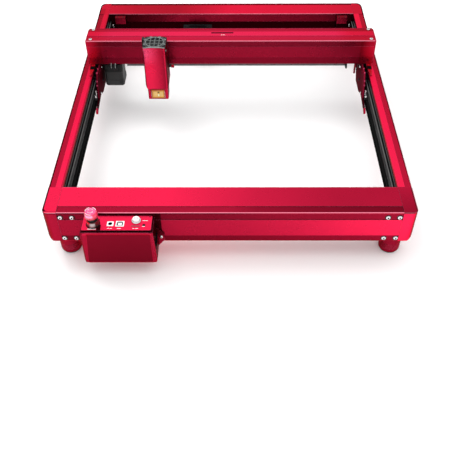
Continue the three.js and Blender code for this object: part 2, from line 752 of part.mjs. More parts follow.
// Housing: a tapered tube with a dovetail groove up its back.
function laserHousing() {
  // half width, front, back, corner radius, z
  const rings = [
    [MODULE_HALF + 0.2, MODULE_FRONT + 1.2, MODULE_BACK - 8, 3.2, -11.8],
    [MODULE_HALF + 1.5, MODULE_FRONT, MODULE_BACK, 4, -4],
    [MODULE_HALF - 0.2, MODULE_FRONT, MODULE_BACK, 4, 71.2],
    [MODULE_HALF - 0.8, MODULE_FRONT + 0.6, MODULE_BACK - 0.6, 3.6, 72],
  ].map(([half, front, back, radius, z]) =>
    roundRect(across(half), [front, back], radius, 2).map(([x, y]) => [x, y, z]),
  );
  const lowerHollow = alongZ(
    roundRect(across(MODULE_HALF - 2.2), [MODULE_FRONT + 2.4, MODULE_BACK - 9.5], 2, 3),
    [-20, -2],
  );
  const upperHollow = alongZ(
    roundRect(across(MODULE_HALF - 2), [MODULE_FRONT + 2, MODULE_BACK - 4.4], 2.4, 3),
    [-2.5, 80],
  );
  const grooveHalf = [
    [-7.9, MODULE_BACK + 1], [-7.9, MODULE_BACK - 0.1], [-8.7, MODULE_BACK - 2.1],
  ];
  const groove = alongZ(closeAcross(grooveHalf, 0), [-40, 90]);
  return cut(loft(rings), lowerHollow, upperHollow, groove);
}

// Shield skirt round the beam, with a window opening in front.
function laserShield() {
  const outer = roundRect(across(19), [MODULE_FRONT + 1.6, MODULE_FRONT + 29], 2.4, 4);
  const inner = roundRect(across(16.8), [MODULE_FRONT + 4, MODULE_FRONT + 26.8], 1.4, 3);
  return cut(
    alongZ(outer, [-35, -12.1], [inner]),
    box(across(12.9), [MODULE_FRONT - 2, MODULE_FRONT + 9], [-33.6, -14.2]),
  );
}
function laserWindow() {
  return box(across(12.5), [MODULE_FRONT + 1.7, MODULE_FRONT + 3.7], [-33.2, -14.6]);
}

// Lens barrel, (radius, z).
const LENS_BARREL = [
  [0, -24], [4.2, -24], [4.6, -23.4], [4.6, -17], [7, -16.4], [7, 1.6], [0, 1.6],
];

// Heat sink: upright fins on a common back.
function heatSink() {
  const half = 17.6;
  const count = 9;
  const finT = 1.6;
  const front = MODULE_FRONT + 3;
  const back = MODULE_BACK - 6;
  const root = back - 6; // front face of the common back
  const outline = [[-half, back]];
  for (let i = 0; i < count; i++) {
    const x = -half + (i * (2 * half - finT)) / (count - 1);
    if (i > 0) outline.push([x, root]);
    outline.push([x, front], [x + finT, front]);
    if (i < count - 1) outline.push([x + finT, root]);
  }
  outline.push([half, back]);
  return alongZ(outline, [2, 56]);
}

// Fan frame with its guard: a ring, a hub and two crossed bars.
function fanFrame() {
  const opening = circle(0, FAN_Y, 16, 36);
  const frame = roundRect(across(17.9), [FAN_Y - 16.9, FAN_Y + 16.9], 2.2, 3);
  const guard = roundRect(across(20.4), [MODULE_FRONT + 0.4, MODULE_BACK - 2], 6, 4);
  const ringZ = [73, 75];
  const barZ = [73.2, 74.8];
  const barHalf = 0.7;
  const reach = 16.8; // half length of a bar
  return join(
    alongZ(frame, [58, 72.3], [opening]),
    alongZ(guard, [72.2, 75], [opening]),
    alongZ(circle(0, FAN_Y, 10.6), ringZ, [circle(0, FAN_Y, 9.4)]),
    rodZ(4.6, ringZ, [0, FAN_Y]),
    box(across(reach), [FAN_Y - barHalf, FAN_Y + barHalf], barZ),
    box(across(barHalf), [FAN_Y - reach, FAN_Y + reach], barZ),
  );
}

// Seven pitched blades round a hub.
function fanRotor() {
  const count = 7;
  const blades = [];
  for (let i = 0; i < count; i++) {
    const blade = new THREE.BoxGeometry(9.6, 0.9, 8.6)
      .rotateX(0.7)
      .translate(9.6, 0, 0)
      .rotateZ((i / count) * Math.PI * 2);
    blades.push(blade);
  }
  return join(rodZ(6.5, [-4.5, 4.5], [0, 0], 28), ...blades);
}

function addLaser(head) {
  const laser = assembly(head, 0, 0, 0);
  const lensPosition = [0, MODULE_FRONT + 15, 0];
  part(laser, "laser_housing", laserHousing(), RED);
  part(laser, "laser_shield", laserShield(), RED);
  part(laser, "laser_window", laserWindow(), AMBER);
  part(laser, "laser_lens_barrel", turned(LENS_BARREL, 28), BRASS, lensPosition);
  part(laser, "heat_sink", heatSink(), ALU);
  part(laser, "fan_frame", fanFrame(), BLACK);
  part(assembly(laser, 0, FAN_Y, FAN_Z), "fan_rotor", fanRotor(), PLASTIC);
}

// ---------- the machine ----------
const root = new THREE.Group();
const machine = assembly(root, 0, -(FRAME_D - BOX_D) / 2, FRAME_H + FOOT_H);
addFrame(machine);
addYDrive(machine);
addControlBox(machine);
const gantry = addGantry(machine);
const head = addHead(gantry);
addLaser(head);

export default root;
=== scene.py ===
"""Looks of a gantry laser engraver, built around its CAD pieces.

The rectangular frame lies flat on its feet, with the control box on the front beam.
The gantry spans the frame in x and carries the laser module on its front side.
Lengths are in millimetres unless a comment says otherwise: x across from the middle,
y back from the frame's front face, z up from the frame's top face.
"""

import math

import bmesh
import bpy
from mathutils import Matrix, Quaternion, Vector

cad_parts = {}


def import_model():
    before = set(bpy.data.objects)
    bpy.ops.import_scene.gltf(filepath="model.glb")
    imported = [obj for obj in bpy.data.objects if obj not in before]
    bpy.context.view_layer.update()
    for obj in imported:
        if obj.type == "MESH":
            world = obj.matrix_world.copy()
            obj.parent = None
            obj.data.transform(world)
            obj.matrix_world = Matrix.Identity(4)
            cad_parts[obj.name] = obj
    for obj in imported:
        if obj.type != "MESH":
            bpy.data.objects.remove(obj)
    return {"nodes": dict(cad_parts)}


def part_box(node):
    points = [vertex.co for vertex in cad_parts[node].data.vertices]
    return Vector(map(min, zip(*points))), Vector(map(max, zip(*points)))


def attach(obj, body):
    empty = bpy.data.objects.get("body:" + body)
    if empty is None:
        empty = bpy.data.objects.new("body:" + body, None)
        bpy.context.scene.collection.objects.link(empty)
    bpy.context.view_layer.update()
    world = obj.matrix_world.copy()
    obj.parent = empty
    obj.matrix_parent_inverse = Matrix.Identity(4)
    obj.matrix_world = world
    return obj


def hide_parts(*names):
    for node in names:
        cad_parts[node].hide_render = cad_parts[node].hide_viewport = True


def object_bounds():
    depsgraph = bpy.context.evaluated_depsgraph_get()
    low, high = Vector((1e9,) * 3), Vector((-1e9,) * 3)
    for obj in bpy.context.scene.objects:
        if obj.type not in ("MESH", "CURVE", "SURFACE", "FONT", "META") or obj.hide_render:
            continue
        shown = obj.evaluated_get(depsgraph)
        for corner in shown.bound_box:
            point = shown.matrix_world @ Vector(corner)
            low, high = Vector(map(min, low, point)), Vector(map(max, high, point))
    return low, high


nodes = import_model()["nodes"]
cad_lo, cad_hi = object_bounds()

MM = 0.001
ORIGIN = (0.0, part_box("front_beam")[0].y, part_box("front_beam")[1].z)
HALF_WIDTH = 287  # of the frame
DEPTH = 663  # of the frame
COVER_Y = 409.0  # front face of the gantry cover
LASER_X = -138.0  # middle of the laser module
SIDES = (("left", -1), ("right", 1))
UP, DOWN, FRONT = (0, 0, 1), (0, 0, -1), (0, -1, 0)
RED = "red_anodised"  # slot name passed along with the tuned red finishes


def world(x, y, z):
    """Point in metres."""
    return Vector((x * MM, y * MM + ORIGIN[1], z * MM + ORIGIN[2]))


def extent(node):
    """Pairs of low and high x, y and z of a CAD node."""
    lo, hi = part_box(node)
    return [((lo[i] - ORIGIN[i]) / MM, (hi[i] - ORIGIN[i]) / MM) for i in range(3)]


def centre(node):
    """Middle of a CAD node, in metres."""
    lo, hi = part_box(node)
    return (lo + hi) / 2


def base_point(node):
    """Middle of the underside of a CAD node, in metres."""
    lo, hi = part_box(node)
    return Vector(((lo.x + hi.x) / 2, (lo.y + hi.y) / 2, lo.z))


# ---------------------------------------------------------------- shader graph
class Graph:
    """A material's node tree, with short calls that add nodes."""

    def __init__(self, tree):
        self.tree = tree
        tree.nodes.clear()

    def node(self, kind, inputs=None, **settings):
        node = self.tree.nodes.new("ShaderNode" + kind)
        for key, value in settings.items():
            setattr(node, key, value)
        for key, value in (inputs or {}).items():
            socket = node.inputs[key]
            if isinstance(value, bpy.types.NodeSocket):
                self.tree.links.new(value, socket)
            elif socket.type == "RGBA":
                socket.default_value = (*value, 1.0)
            else:
                socket.default_value = value
        return node

    def math(self, operation, *values, clamp=False):
        inputs = dict(enumerate(values))
        return self.node("Math", inputs, operation=operation, use_clamp=clamp).outputs[0]

    def map_range(self, value, low, high, to_low=0.0, to_high=1.0):
        return self.node("MapRange", {0: value, 1: low, 2: high, 3: to_low, 4: to_high}).outputs[0]

    def mix_colour(self, factor, a, b):
        return self.node("Mix", {0: factor, 6: a, 7: b}, data_type="RGBA").outputs[2]

    def mix_value(self, factor, a, b):
        return self.node("Mix", {0: factor, 2: a, 3: b}, data_type="FLOAT").outputs[0]

    def scale(self, colour, factor):
        return self.node("VectorMath", {0: colour, "Scale": factor}, operation="SCALE").outputs[0]

    def noise(self, coord, scale, detail):
        inputs = {"Scale": scale, "Detail": detail, "Vector": coord}
        return self.node("TexNoise", inputs).outputs[0]


# ---------------------------------------------------------------- painted zones
# A zone is bounded by pairs along x, abs_x (distance from x = 0), y or z. It may have a soft
# edge, be matte (no metal and no shine), or be the rim of a rounded outline.
# Most zones paint light and shade into the colour: highlights, reflections, shadows and shading.
def shade(brightness, along="x", **zone):
    """Painted light and shade of a zone: a brightness number, or stops of (place along the axis,
    brightness).
    """
    return dict(zone, shade=brightness, along=along)


def tint(colour, amount=1.0, **zone):
    """A colour mixed over a zone."""
    return dict(zone, colour=colour, amount=amount)


def metres(axis, value):
    return value * MM + {"y": ORIGIN[1], "z": ORIGIN[2]}.get(axis, 0.0)


def rim_mask(graph, axes, half_width, edge_y, outward, radius, depth):
    """Band of the given depth along a rounded outer corner of the frame."""
    across = graph.math("SUBTRACT", axes["abs_x"], (half_width - radius) * MM)
    across = graph.math("MAXIMUM", across, 0.0)
    along = graph.math("SUBTRACT", axes["y"], metres("y", edge_y - outward * radius))
    along = graph.math("MAXIMUM", graph.math("MULTIPLY", along, float(outward)), 0.0)
    squares = [graph.math("MULTIPLY", value, value) for value in (across, along)]
    distance = graph.math("SQRT", graph.math("ADD", *squares))
    return graph.math("GREATER_THAN", distance, (radius - depth) * MM)


def zone_mask(graph, axes, zone):
    """Mask of a painted zone, or None where it covers everything."""
    bands = []
    soft = zone.get("soft", 0.0) * MM
    mask = None
    for axis in ("x", "abs_x", "y", "z"):
        if axis not in zone:
            continue
        start, end = (metres(axis, value) for value in zone[axis])
        middle, half = (start + end) / 2, abs(end - start) / 2
        if soft:
            away = graph.math("ABSOLUTE", graph.math("SUBTRACT", axes[axis], middle))
            left = graph.math("SUBTRACT", half + soft, away)
            bands.append(graph.math("DIVIDE", left, soft, clamp=True))
        else:
            bands.append(graph.math("COMPARE", axes[axis], middle, half))
    if "rim" in zone:
        bands.append(rim_mask(graph, axes, *zone["rim"]))
    for band in bands:
        mask = band if mask is None else graph.math("MULTIPLY", mask, band)
    return mask


def brightness_along(graph, axes, axis, stops):
    """Brightness read from stops along an axis."""
    stops = [(metres(axis, place), brightness) for place, brightness in stops]
    low, high = stops[0][0], stops[-1][0]
    ramp = graph.node("ValToRGB", {0: graph.map_range(axes[axis], low, high)})
    elements = ramp.color_ramp.elements
    for _ in stops[2:]:
        elements.new(0.5)
    for element, (place, _) in zip(elements, stops):
        element.position = (place - low) / (high - low)
    for element, (_, brightness) in zip(elements, stops):
        element.color = (brightness, brightness, brightness, 1)
    return graph.node("RGBToBW", {0: ramp.outputs[0]}).outputs[0]


def apply_paint(graph, axes, colour, paint):
    """Colour with every zone laid over it, and the mask of the matte zones."""
    tone = matte = None
    for item in paint:
        mask = zone_mask(graph, axes, item)
        if item.get("matte"):
            matte = mask if matte is None else graph.math("MAXIMUM", matte, mask)
        if "colour" in item:
            amount = item["amount"]
            if mask is not None:
                amount = graph.math("MULTIPLY", mask, amount)
            colour = graph.mix_colour(amount, colour, item["colour"])
            continue
        value = item["shade"]
        if isinstance(value, list):
            value = brightness_along(graph, axes, item["along"], value)
        if mask is not None:
            tone = graph.mix_value(mask, 1.0 if tone is None else tone, value)
        else:
            tone = value if tone is None else graph.math("MULTIPLY", tone, value)
    if tone is not None:
        colour = graph.scale(colour, tone)
    return colour, matte


# ---------------------------------------------------------------- materials
finishes = {}


def material(
    name,
    base,
    metallic=0.0,
    rough=0.4,
    rough_var=0.06,
    tone_var=0.07,
    grain=(2200.0, 0.15, 4e-5),
    brushed=None,
    coat=0.0,
    coat_rough=0.1,
    wear=0.0,
    wear_colour=None,
    wear_radius=0.0005,
    paint=(),
    ribs=None,
    edge_dark=0.0,
    edge_tint=None,
    spec=0.5,
    trans=0.0,
    ior=1.45,
):
    """Mottled surface with fine relief, painted zones, painted shade at grazing angles, and rubbed
    edges with a painted glint.

    grain is noise scale, bump strength and bump depth in metres. brushed stretches the grain.
    ribs is (pitch, inner and outer distance from x = 0) of fine ribs repeating along y.
    """
    mat = bpy.data.materials.new(name)
    finishes[name] = mat
    mat.use_nodes = True
    graph = Graph(mat.node_tree)
    bsdf = graph.node("BsdfPrincipled")
    graph.node("OutputMaterial", {0: bsdf.outputs[0]})
    coord = graph.node("TexCoord").outputs["Object"]

    # slow and quick changes of tone
    slow = graph.noise(coord, scale=9.0, detail=4.0)
    quick = graph.noise(coord, scale=70.0, detail=5.0)
    mottle = graph.math(
        "ADD", graph.math("MULTIPLY", slow, 0.65), graph.math("MULTIPLY", quick, 0.35)
    )
    darker = tuple(c * (1 - tone_var) for c in base)
    lighter = tuple(min(1.0, c * (1 + tone_var)) for c in base)
    colour = graph.mix_colour(graph.map_range(mottle, 0.35, 0.65), darker, lighter)
    roughness = graph.map_range(
        quick, 0.3, 0.7, to_low=max(0.02, rough - rough_var), to_high=rough + rough_var
    )

    # fine relief
    grain_scale, grain_strength, grain_depth = grain
    grain_coord = coord
    if brushed:
        mapping = graph.node("Mapping", {"Scale": brushed, "Vector": coord})
        grain_coord = mapping.outputs[0]
    fine = graph.noise(grain_coord, scale=grain_scale, detail=3.0)
    if brushed:
        streak = graph.math("MULTIPLY", graph.math("SUBTRACT", fine, 0.5), 0.16)
        roughness = graph.math("ADD", roughness, streak)
    relief = {"Strength": grain_strength, "Distance": grain_depth, "Height": fine}
    normal = graph.node("Bump", relief).outputs[0]

    matte = None
    if paint or ribs:
        parts = graph.node("SeparateXYZ", {0: coord}).outputs
        axes = {"x": parts[0], "y": parts[1], "z": parts[2]}
        if ribs or any("abs_x" in zone or "rim" in zone for zone in paint):
            axes["abs_x"] = graph.math("ABSOLUTE", parts[0])
        colour, matte = apply_paint(graph, axes, colour, paint)
    if ribs:
        pitch, *band = ribs
        phase = graph.math("MULTIPLY", axes["y"], 2 * math.pi / (pitch * MM))
        wave = graph.math("SINE", phase)
        wave = graph.math("MULTIPLY", wave, zone_mask(graph, axes, {"abs_x": band}))
        relief = {"Strength": 0.4, "Distance": 0.0001, "Height": wave, "Normal": normal}
        normal = graph.node("Bump", relief).outputs[0]

    # painted shade: the colour darkens where the surface is seen at grazing angles, standing in
    # for a dark reflection
    if edge_dark > 0:
        facing = graph.node("LayerWeight", {0: 0.5}).outputs["Facing"]
        factor = graph.map_range(facing, 0.55, 0.92, to_low=1.0, to_high=1.0 - edge_dark)
        colour = graph.scale(colour, factor)
    # rubbed edges and a painted glint: a brighter colour mixed in on convex edges, in patches
    if wear > 0:
        rounded = graph.node("Bevel", {"Radius": wear_radius}, samples=4).outputs[0]
        true_normal = graph.node("NewGeometry").outputs["Normal"]
        dot = graph.node("VectorMath", {0: rounded, 1: true_normal}, operation="DOT_PRODUCT")
        edge = graph.map_range(dot.outputs["Value"], 0.995, 0.86)
        patches = graph.math("MULTIPLY", graph.math("ADD", quick, 0.25), wear, clamp=True)
        wear_and_glint_mask = graph.math("MULTIPLY", edge, patches, clamp=True)
        if matte is not None:
            wear_and_glint_mask = graph.math("MULTIPLY", wear_and_glint_mask, graph.math("SUBTRACT", 1.0, matte))
        colour = graph.mix_colour(wear_and_glint_mask, colour, wear_colour)

    link = graph.tree.links.new
    link(colour, bsdf.inputs["Base Color"])
    link(roughness, bsdf.inputs["Roughness"])
    link(normal, bsdf.inputs["Normal"])
    values = {
        "Metallic": metallic,
        "Coat Weight": coat,
        "Coat Roughness": coat_rough,
        "Specular IOR Level": spec,
        "Transmission Weight": trans,
        "IOR": ior,
    }
    for key, value in values.items():
        bsdf.inputs[key].default_value = value
    if matte is not None:
        shiny = graph.math("SUBTRACT", 1.0, matte)
        link(graph.math("MULTIPLY", shiny, metallic), bsdf.inputs["Metallic"])
        link(graph.math("MULTIPLY", shiny, spec), bsdf.inputs["Specular IOR Level"])
    if edge_tint:
        bsdf.inputs["Specular Tint"].default_value = (*edge_tint, 1)


ANODISED = (0.90, 0.019, 0.078)
PINK = (1.0, 0.20, 0.36)  # rubbed edges, with a painted glint
EDGE_PINK = (1.0, 0.30, 0.42)  # lit top edges
RED_FINISH = dict(
    metallic=0.78,
    rough=0.29,
    rough_var=0.035,
    tone_var=0.035,
    grain=(1500.0, 0.05, 3e-5),
    wear=0.55,
    wear_colour=PINK,
    spec=0.15,
    edge_dark=0.82,
    edge_tint=(0.55, 0.06, 0.12),
)


def red(name, *paint, **changes):
    """Red anodised finish, with zones and any changed settings."""
    material(name, ANODISED, **{**RED_FINISH, **changes, "paint": paint})


red("red_anodised", shade(0.85))
# Front beam with painted light: reflection gradients along x on the top and front faces, darker
# recessed strips, a dark painted line under the lit top edge, the painted shadow of the control
# box, painted highlights along the top edges and painted shade on the back face.
red(
    "red_anodised_front",
    shade([(-264, 1.0), (-100, 1.0), (45, 0.61), (165, 0.46), (264, 0.45)]),
    shade([(-264, 0.42), (0, 0.42), (40, 0.29), (110, 0.235), (264, 0.18)],
          y=(1.6, 14.7), z=(-1.8, 0.4)),
    shade([(-264, 0.34), (-92, 0.42), (0, 0.46), (30, 0.48), (105, 0.60), (181, 0.84),
           (264, 0.98)], y=(-0.5, 1.0), z=(-66, -1.0)),
    shade([(-264, 0.20), (-46, 0.20), (30, 0.225), (105, 0.265), (264, 0.32)],
          y=(-0.5, 2.4), z=(-15.5, -3.1)),
    shade([(-264, 0.18), (-92, 0.19), (30, 0.22), (105, 0.27), (264, 0.34)],
          y=(-0.5, 2.4), z=(-61.9, -49.4)),
    shade([(-264, 0.06), (0, 0.10), (60, 0.32), (264, 0.42)], y=(-0.5, 1.3), z=(-3.1, -1.0)),
    shade(0.05, x=(-114.5, -105.5), y=(-0.5, 2.4), z=(-66, -1.0)),
    shade(1.0, y=(-0.5, 1.3), z=(-1.0, 0.4)),
    tint(EDGE_PINK, 0.85, y=(-0.5, 1.5), z=(-1.0, 0.4)),
    tint((1.0, 0.22, 0.36), 0.35, y=(57.0, 58.4), z=(-0.9, 0.4)),
    shade(0.35, y=(55.5, 58.4), z=(-66, -1.0)),
)
# Rear beam with painted light: a reflection gradient along x on the top, darker strips, a dark
# painted outline along the rear top edge, painted shade on the back and inner faces, nearly black
# below the gantry, and a painted highlight along the inner top edge.
red(
    "red_anodised_rear",
    shade([(-264, 0.66), (-199, 0.54), (-112, 0.50), (0, 0.88), (106, 0.84), (194, 0.80),
           (264, 0.68)]),
    shade([(-264, 0.16), (-112, 0.14), (0, 0.20), (264, 0.16)], y=(652.9, 660.2), z=(-1.8, 0.4)),
    shade(0.62, y=(660.0, 664), z=(-66, -2.9)),
    shade([(-264, 0.06), (-60, 0.24), (264, 0.18)], y=(659.4, 664), z=(-1.3, 0.4), matte=True),
    shade(0.26, y=(660.6, 664), z=(-15.5, -3.1)),
    shade(0.22, y=(660.6, 664), z=(-61.9, -49.4)),
    shade([(-264, 0.03), (-215, 0.05), (-150, 0.12), (-112, 0.24), (0, 0.21), (106, 0.17),
           (200, 0.15), (264, 0.05)], y=(613.0, 617.0), z=(-18.1, -0.9)),
    shade(0.02, y=(613.0, 617.0), z=(-66, -18.05), matte=True),
    tint(EDGE_PINK, 0.8, y=(613.0, 615.2), z=(-0.9, 0.4)),
)
BEAM_RIBS = (1.6, 274.9, 284.0)
# Side beams: the ribbed outer strip is darker. Painted light: the left top fades along y, the
# outer side faces are darker, the left inner edge is darker, and a dark painted outline runs along
# the outer top edge.
red(
    "red_anodised_left_beam",
    shade([(58, 1.05), (240, 0.96), (614, 0.76)], along="y"),
    shade([(58, 0.50), (240, 0.46), (614, 0.42)], along="y", x=(-284.1, -274.9), z=(-1.8, 0.4)),
    shade(0.40, z=(-70, -4.2)),
    shade(0.035, x=(-288, -283.5), z=(-1.9, 0.4), matte=True),
    shade(0.6, abs_x=(261, 266.5), z=(-7, 0.4)),
    ribs=BEAM_RIBS,
    edge_dark=0.9,
)
red(
    "red_anodised_right_beam",
    shade(0.96),
    shade(0.50, x=(274.9, 284.1), z=(-1.8, 0.4)),
    shade(0.40, z=(-70, -4.2)),
    shade([(58, 0.30), (130, 0.08), (614, 0.04)], along="y",
          x=(283.8, 288), z=(-1.9, 0.4), matte=True),
    ribs=BEAM_RIBS,
    edge_dark=0.9,
)
# Front corners with painted light: lit tops, shaded front faces, a dark painted line under the top
# edge with a painted highlight above it, and a dark painted outline round the outer rim; the right
# corner also has a painted highlight on its outer strip.
red(
    "red_anodised_corner_fl",
    shade(0.96),
    shade([(-287, 0.16), (-284, 0.30), (-275, 0.40), (-264, 0.36)], z=(-66, -1.2)),
    shade(0.06, z=(-3.0, -1.3)),
    tint(EDGE_PINK, 0.8, z=(-1.25, -0.3)),
    shade(0.04, rim=(HALF_WIDTH, 0, -1, 11, 3.4), z=(-1.3, 0.4), y=(3.0, 60), matte=True),
    edge_dark=0.92,
)
red(
    "red_anodised_corner_fr",
    shade([(0, 0.30), (58, 0.48)], along="y"),
    shade([(264, 1.0), (280, 1.0), (284.5, 0.55), (287, 0.16)], z=(-66, -1.2)),
    shade(0.30, z=(-2.8, -1.3)),
    tint(EDGE_PINK, 0.8, z=(-1.25, -0.3)),
    shade(0.95, x=(285.4, 288), z=(-3.6, 0.4), y=(2.5, 60)),
    shade(0.10, x=(283.6, 285.4), z=(-3.6, 0.4), y=(2.5, 60)),
    edge_dark=0.92,
)
# rear corners with painted light, and painted shade on the side and inner faces: (end of the name,
# overall painted brightness, rim depth, brightness of the painted dark rim)
for corner, overall, rim_depth, rim_shade in (("rl", 0.70, 3.9, 0.045), ("rr", 0.66, 3.7, 0.05)):
    red(
        f"red_anodised_corner_{corner}",
        shade(overall),
        shade(0.40, z=(-66, -3.0)),
        shade(0.52, x=(-285, -274.9), y=(614, 636), z=(-0.2, 0.4), soft=2.0),
        shade(0.04, z=(-66, -0.9), y=(600, 616.5), matte=True),
        shade(rim_shade, rim=(HALF_WIDTH, DEPTH, 1, 17, rim_depth), z=(-1.3, 0.4), matte=True),
        edge_dark=0.92,
    )
# Gantry cover with painted light: reflection gradients along x, a front face dark in the middle
# and lit at the ends, painted highlights along the raised top band and the front top edge, painted
# shade on the back face and painted shade inside the slot.
red(
    "red_anodised_gantry",
    shade([(-273, 0.76), (-100, 0.88), (0, 0.86), (200, 0.82), (273, 0.72)]),
    shade([(-273, 0.56), (-150, 0.62), (273, 0.55)],
          y=(COVER_Y + 1.4, COVER_Y + 19.4), z=(51.2, 53.5)),
    shade([(-273, 0.46), (-150, 0.56), (0, 0.54), (273, 0.42)],
          y=(COVER_Y + 34.9, COVER_Y + 48.5), z=(51.2, 53.5)),
    shade([(-273, 0.62), (-262, 0.50), (-250, 0.24), (-215, 0.17), (-150, 0.20), (0, 0.20),
           (150, 0.20), (215, 0.18), (250, 0.22), (262, 0.50), (273, 0.62)],
          y=(COVER_Y - 0.5, COVER_Y + 2.2), z=(0, 51.8)),
    shade([(-273, 0.85), (-262, 0.62), (-250, 0.36), (-215, 0.24), (-150, 0.27), (0, 0.28),
           (150, 0.28), (215, 0.24), (250, 0.34), (262, 0.62), (273, 0.85)],
          y=(COVER_Y - 0.5, COVER_Y + 0.8), z=(18.0, 41.2)),
    tint((0.50, 0.001, 0.010), 0.45,
         abs_x=(247, 274), y=(COVER_Y - 0.5, COVER_Y + 2.2), z=(0, 51.5)),
    tint((1.0, 0.055, 0.155), 0.55,
         x=(-232, 200), y=(COVER_Y + 19.6, COVER_Y + 34.6), z=(51, 54), soft=30.0),
    tint(EDGE_PINK, 0.8, y=(COVER_Y - 0.5, COVER_Y + 1.4), z=(51.6, 53.5)),
    shade(0.30, y=(COVER_Y + 46.5, COVER_Y + 48.5), z=(0, 51.5)),
    shade(0.55, y=(COVER_Y + 47.2, COVER_Y + 48.5), z=(18, 41)),
    shade(0.01, x=(-37.6, 5.2), y=(COVER_Y + 27.9, COVER_Y + 32.1), z=(48, 53.0)),
)
red("red_anodised_end", shade(0.5), edge_dark=0.6)
# Control box with painted shade: a darker front, a right side lit near its front edge and darker
# towards the back, and a nearly black painted shadow on the rim under the panel.
red(
    "red_anodised_box",
    shade(0.36),
    shade(0.27, y=(-36, -33.6), z=(-80, -8.0)),
    shade([(-35, 0.42), (-28, 0.16), (-2, 0.06)], along="y", x=(-117.6, -108), z=(-80, -8.0)),
    shade(0.03, z=(-8.0, -6.5)),
    edge_dark=0.75,
)
# painted shadow of the control box: the mount darkens towards its top
red(
    "red_anodised_ear",
    shade([(-70, 0.36), (-52, 0.32), (-44, 0.10), (-10, 0.04)], along="z"),
    wear=0.25,
)
# Box front with painted light: a painted highlight on the upper part of the line, a brighter
# painted band near the top of the trim, an inset that darkens towards the bottom, and a bright red
# painted glint on the inset's edges.
red("red_anodised_line", shade(0.45), tint((0.75, 0.006, 0.010), z=(-16, -3)), wear=0.0)
red("red_anodised_box_trim", shade(0.36), shade(0.55, z=(-12.5, -9)), edge_dark=0.6)
red(
    "red_anodised_box_inset",
    shade([(-74, 0.165), (-10, 0.205)], along="z"),
    wear=0.9,
    wear_colour=(0.75, 0.01, 0.02),
    rough=0.36,
)
# Panel with painted shade: the shadow of the emergency stop on two patches beside it, and a nearly
# black lower step.
red(
    "red_anodised_panel",
    shade(1.0),
    shade(0.05, x=(-198.5, -192.5), y=(-32, -21)),
    shade(0.05, x=(-199.5, -196.0), y=(-21, -9)),
    shade(0.03, z=(-8, -5.2)),
    edge_dark=0.3,
)
# painted shade: the bearing is dark, and nearly black below the rail
red(
    "red_anodised_bearing",
    shade([(-22, 0.28), (-3, 0.24)], along="z"),
    shade(0.012, z=(-64, -17.5)),
    wear=0.2,
)
# painted shade: nearly black on the plate's outer face beside the bearing block
red(
    "red_anodised_plate",
    shade(0.16),
    shade(0.27, x=(240, 256.4)),
    shade(0.03, abs_x=(256.4, 258)),
    tint((0.02, 0.001, 0.002), 0.8,
         abs_x=(253.6, 257), y=(COVER_Y - 82, COVER_Y - 50), z=(-56, -40)),
    metallic=0.25,
    rough=0.75,
    spec=0.02,
    edge_dark=0.75,
    edge_tint=(0.3, 0.02, 0.05),
    tone_var=0.5,
    grain=(420.0, 0.5, 2.5e-4),
    wear=0.15,
)
# the pink tint is a painted highlight
red("red_anodised_spacer", shade(0.8), tint((0.9, 0.12, 0.28), 0.8), rough=0.35)
red("red_anodised_tip", shade(0.55), metallic=0.4, rough=0.4)
red("red_gloss_block", shade(0.65), tint((0.55, 0.004, 0.004), 0.8), metallic=0.3)
# Laser module with painted light: a lit left chamfer and front fading to the right, painted
# highlight lines at the right edge, a right side in painted shade, brighter towards the top, a
# pink painted highlight at the upper left, and painted shade on the rear part.
red(
    "red_anodised_module",
    shade([(-160.5, 0.22), (-158.0, 0.30), (-157.0, 0.98), (-146, 0.94), (-138, 0.76),
           (-130, 0.56), (-124, 0.40), (-121.4, 0.32), (-120.4, 0.72), (-119.4, 0.66),
           (-118.6, 0.16), (-115.5, 0.12)]),
    shade([(-12, 0.84), (10, 0.90), (40, 1.0), (72, 1.10)], along="z"),
    tint((1.0, 0.10, 0.25), 0.75, x=(-156.6, -153), y=(336, 347), z=(62, 90), soft=24.0),
    shade(0.16, y=(352, 390)),
    wear=0.35,
    edge_dark=0.55,
)
# Shield with painted light: lit bands and darker painted lines across x, and painted shade on the
# rear part.
red(
    "red_anodised_shield",
    shade([(-158, 0.25), (-155, 0.5), (-152.5, 0.55), (-151.2, 0.25), (-150.4, 0.30),
           (-126.4, 0.30), (-125.2, 0.25), (-123.5, 0.45), (-120, 0.55), (-118, 0.25)]),
    shade(0.16, y=(353, 378)),
    wear=0.35,
    edge_dark=0.5,
)
red("red_dark_anodised", shade(0.24), wear=0.35, rough=0.36)
# painted shade under the frame darkens the feet
red(
    "red_foot_anodised", shade(0.32),
    wear=0.5, rough=0.26, edge_dark=0.5, edge_tint=(0.8, 0.2, 0.3),
)

# Collar with painted light: painted shade at its bottom and at its top under the head, a painted
# highlight in the middle, painted shadow on the right, and a bright red painted highlight at the
# left under the head.
material(
    "collar_satin", (0.26, 0.16, 0.16), metallic=0.75, rough=0.3, wear=0.6,
    wear_colour=(0.75, 0.65, 0.65), grain=(1200.0, 0.08, 3e-5),
    paint=(
        tint((0.10, 0.02, 0.025), 0.8, z=(-5, -1.0)),
        tint((0.55, 0.50, 0.50), 0.6, x=(-207, -200), z=(-1.0, 3.6), soft=2.0),
        tint((0.12, 0.004, 0.01), 0.8, x=(-200, -190), z=(-1.0, 6)),
        tint((0.12, 0.004, 0.008), 0.8, z=(3.8, 6)),
        tint((0.80, 0.004, 0.01), 0.9, x=(-216, -207.5), z=(2.6, 6)),
    ),
)
material(
    "black_metal", (0.012, 0.012, 0.013), metallic=0.4, rough=0.45, wear=0.4,
    wear_colour=(0.09, 0.09, 0.10), tone_var=0.2, spec=0.25, grain=(1500.0, 0.1, 4e-5),
    edge_dark=0.6,
)
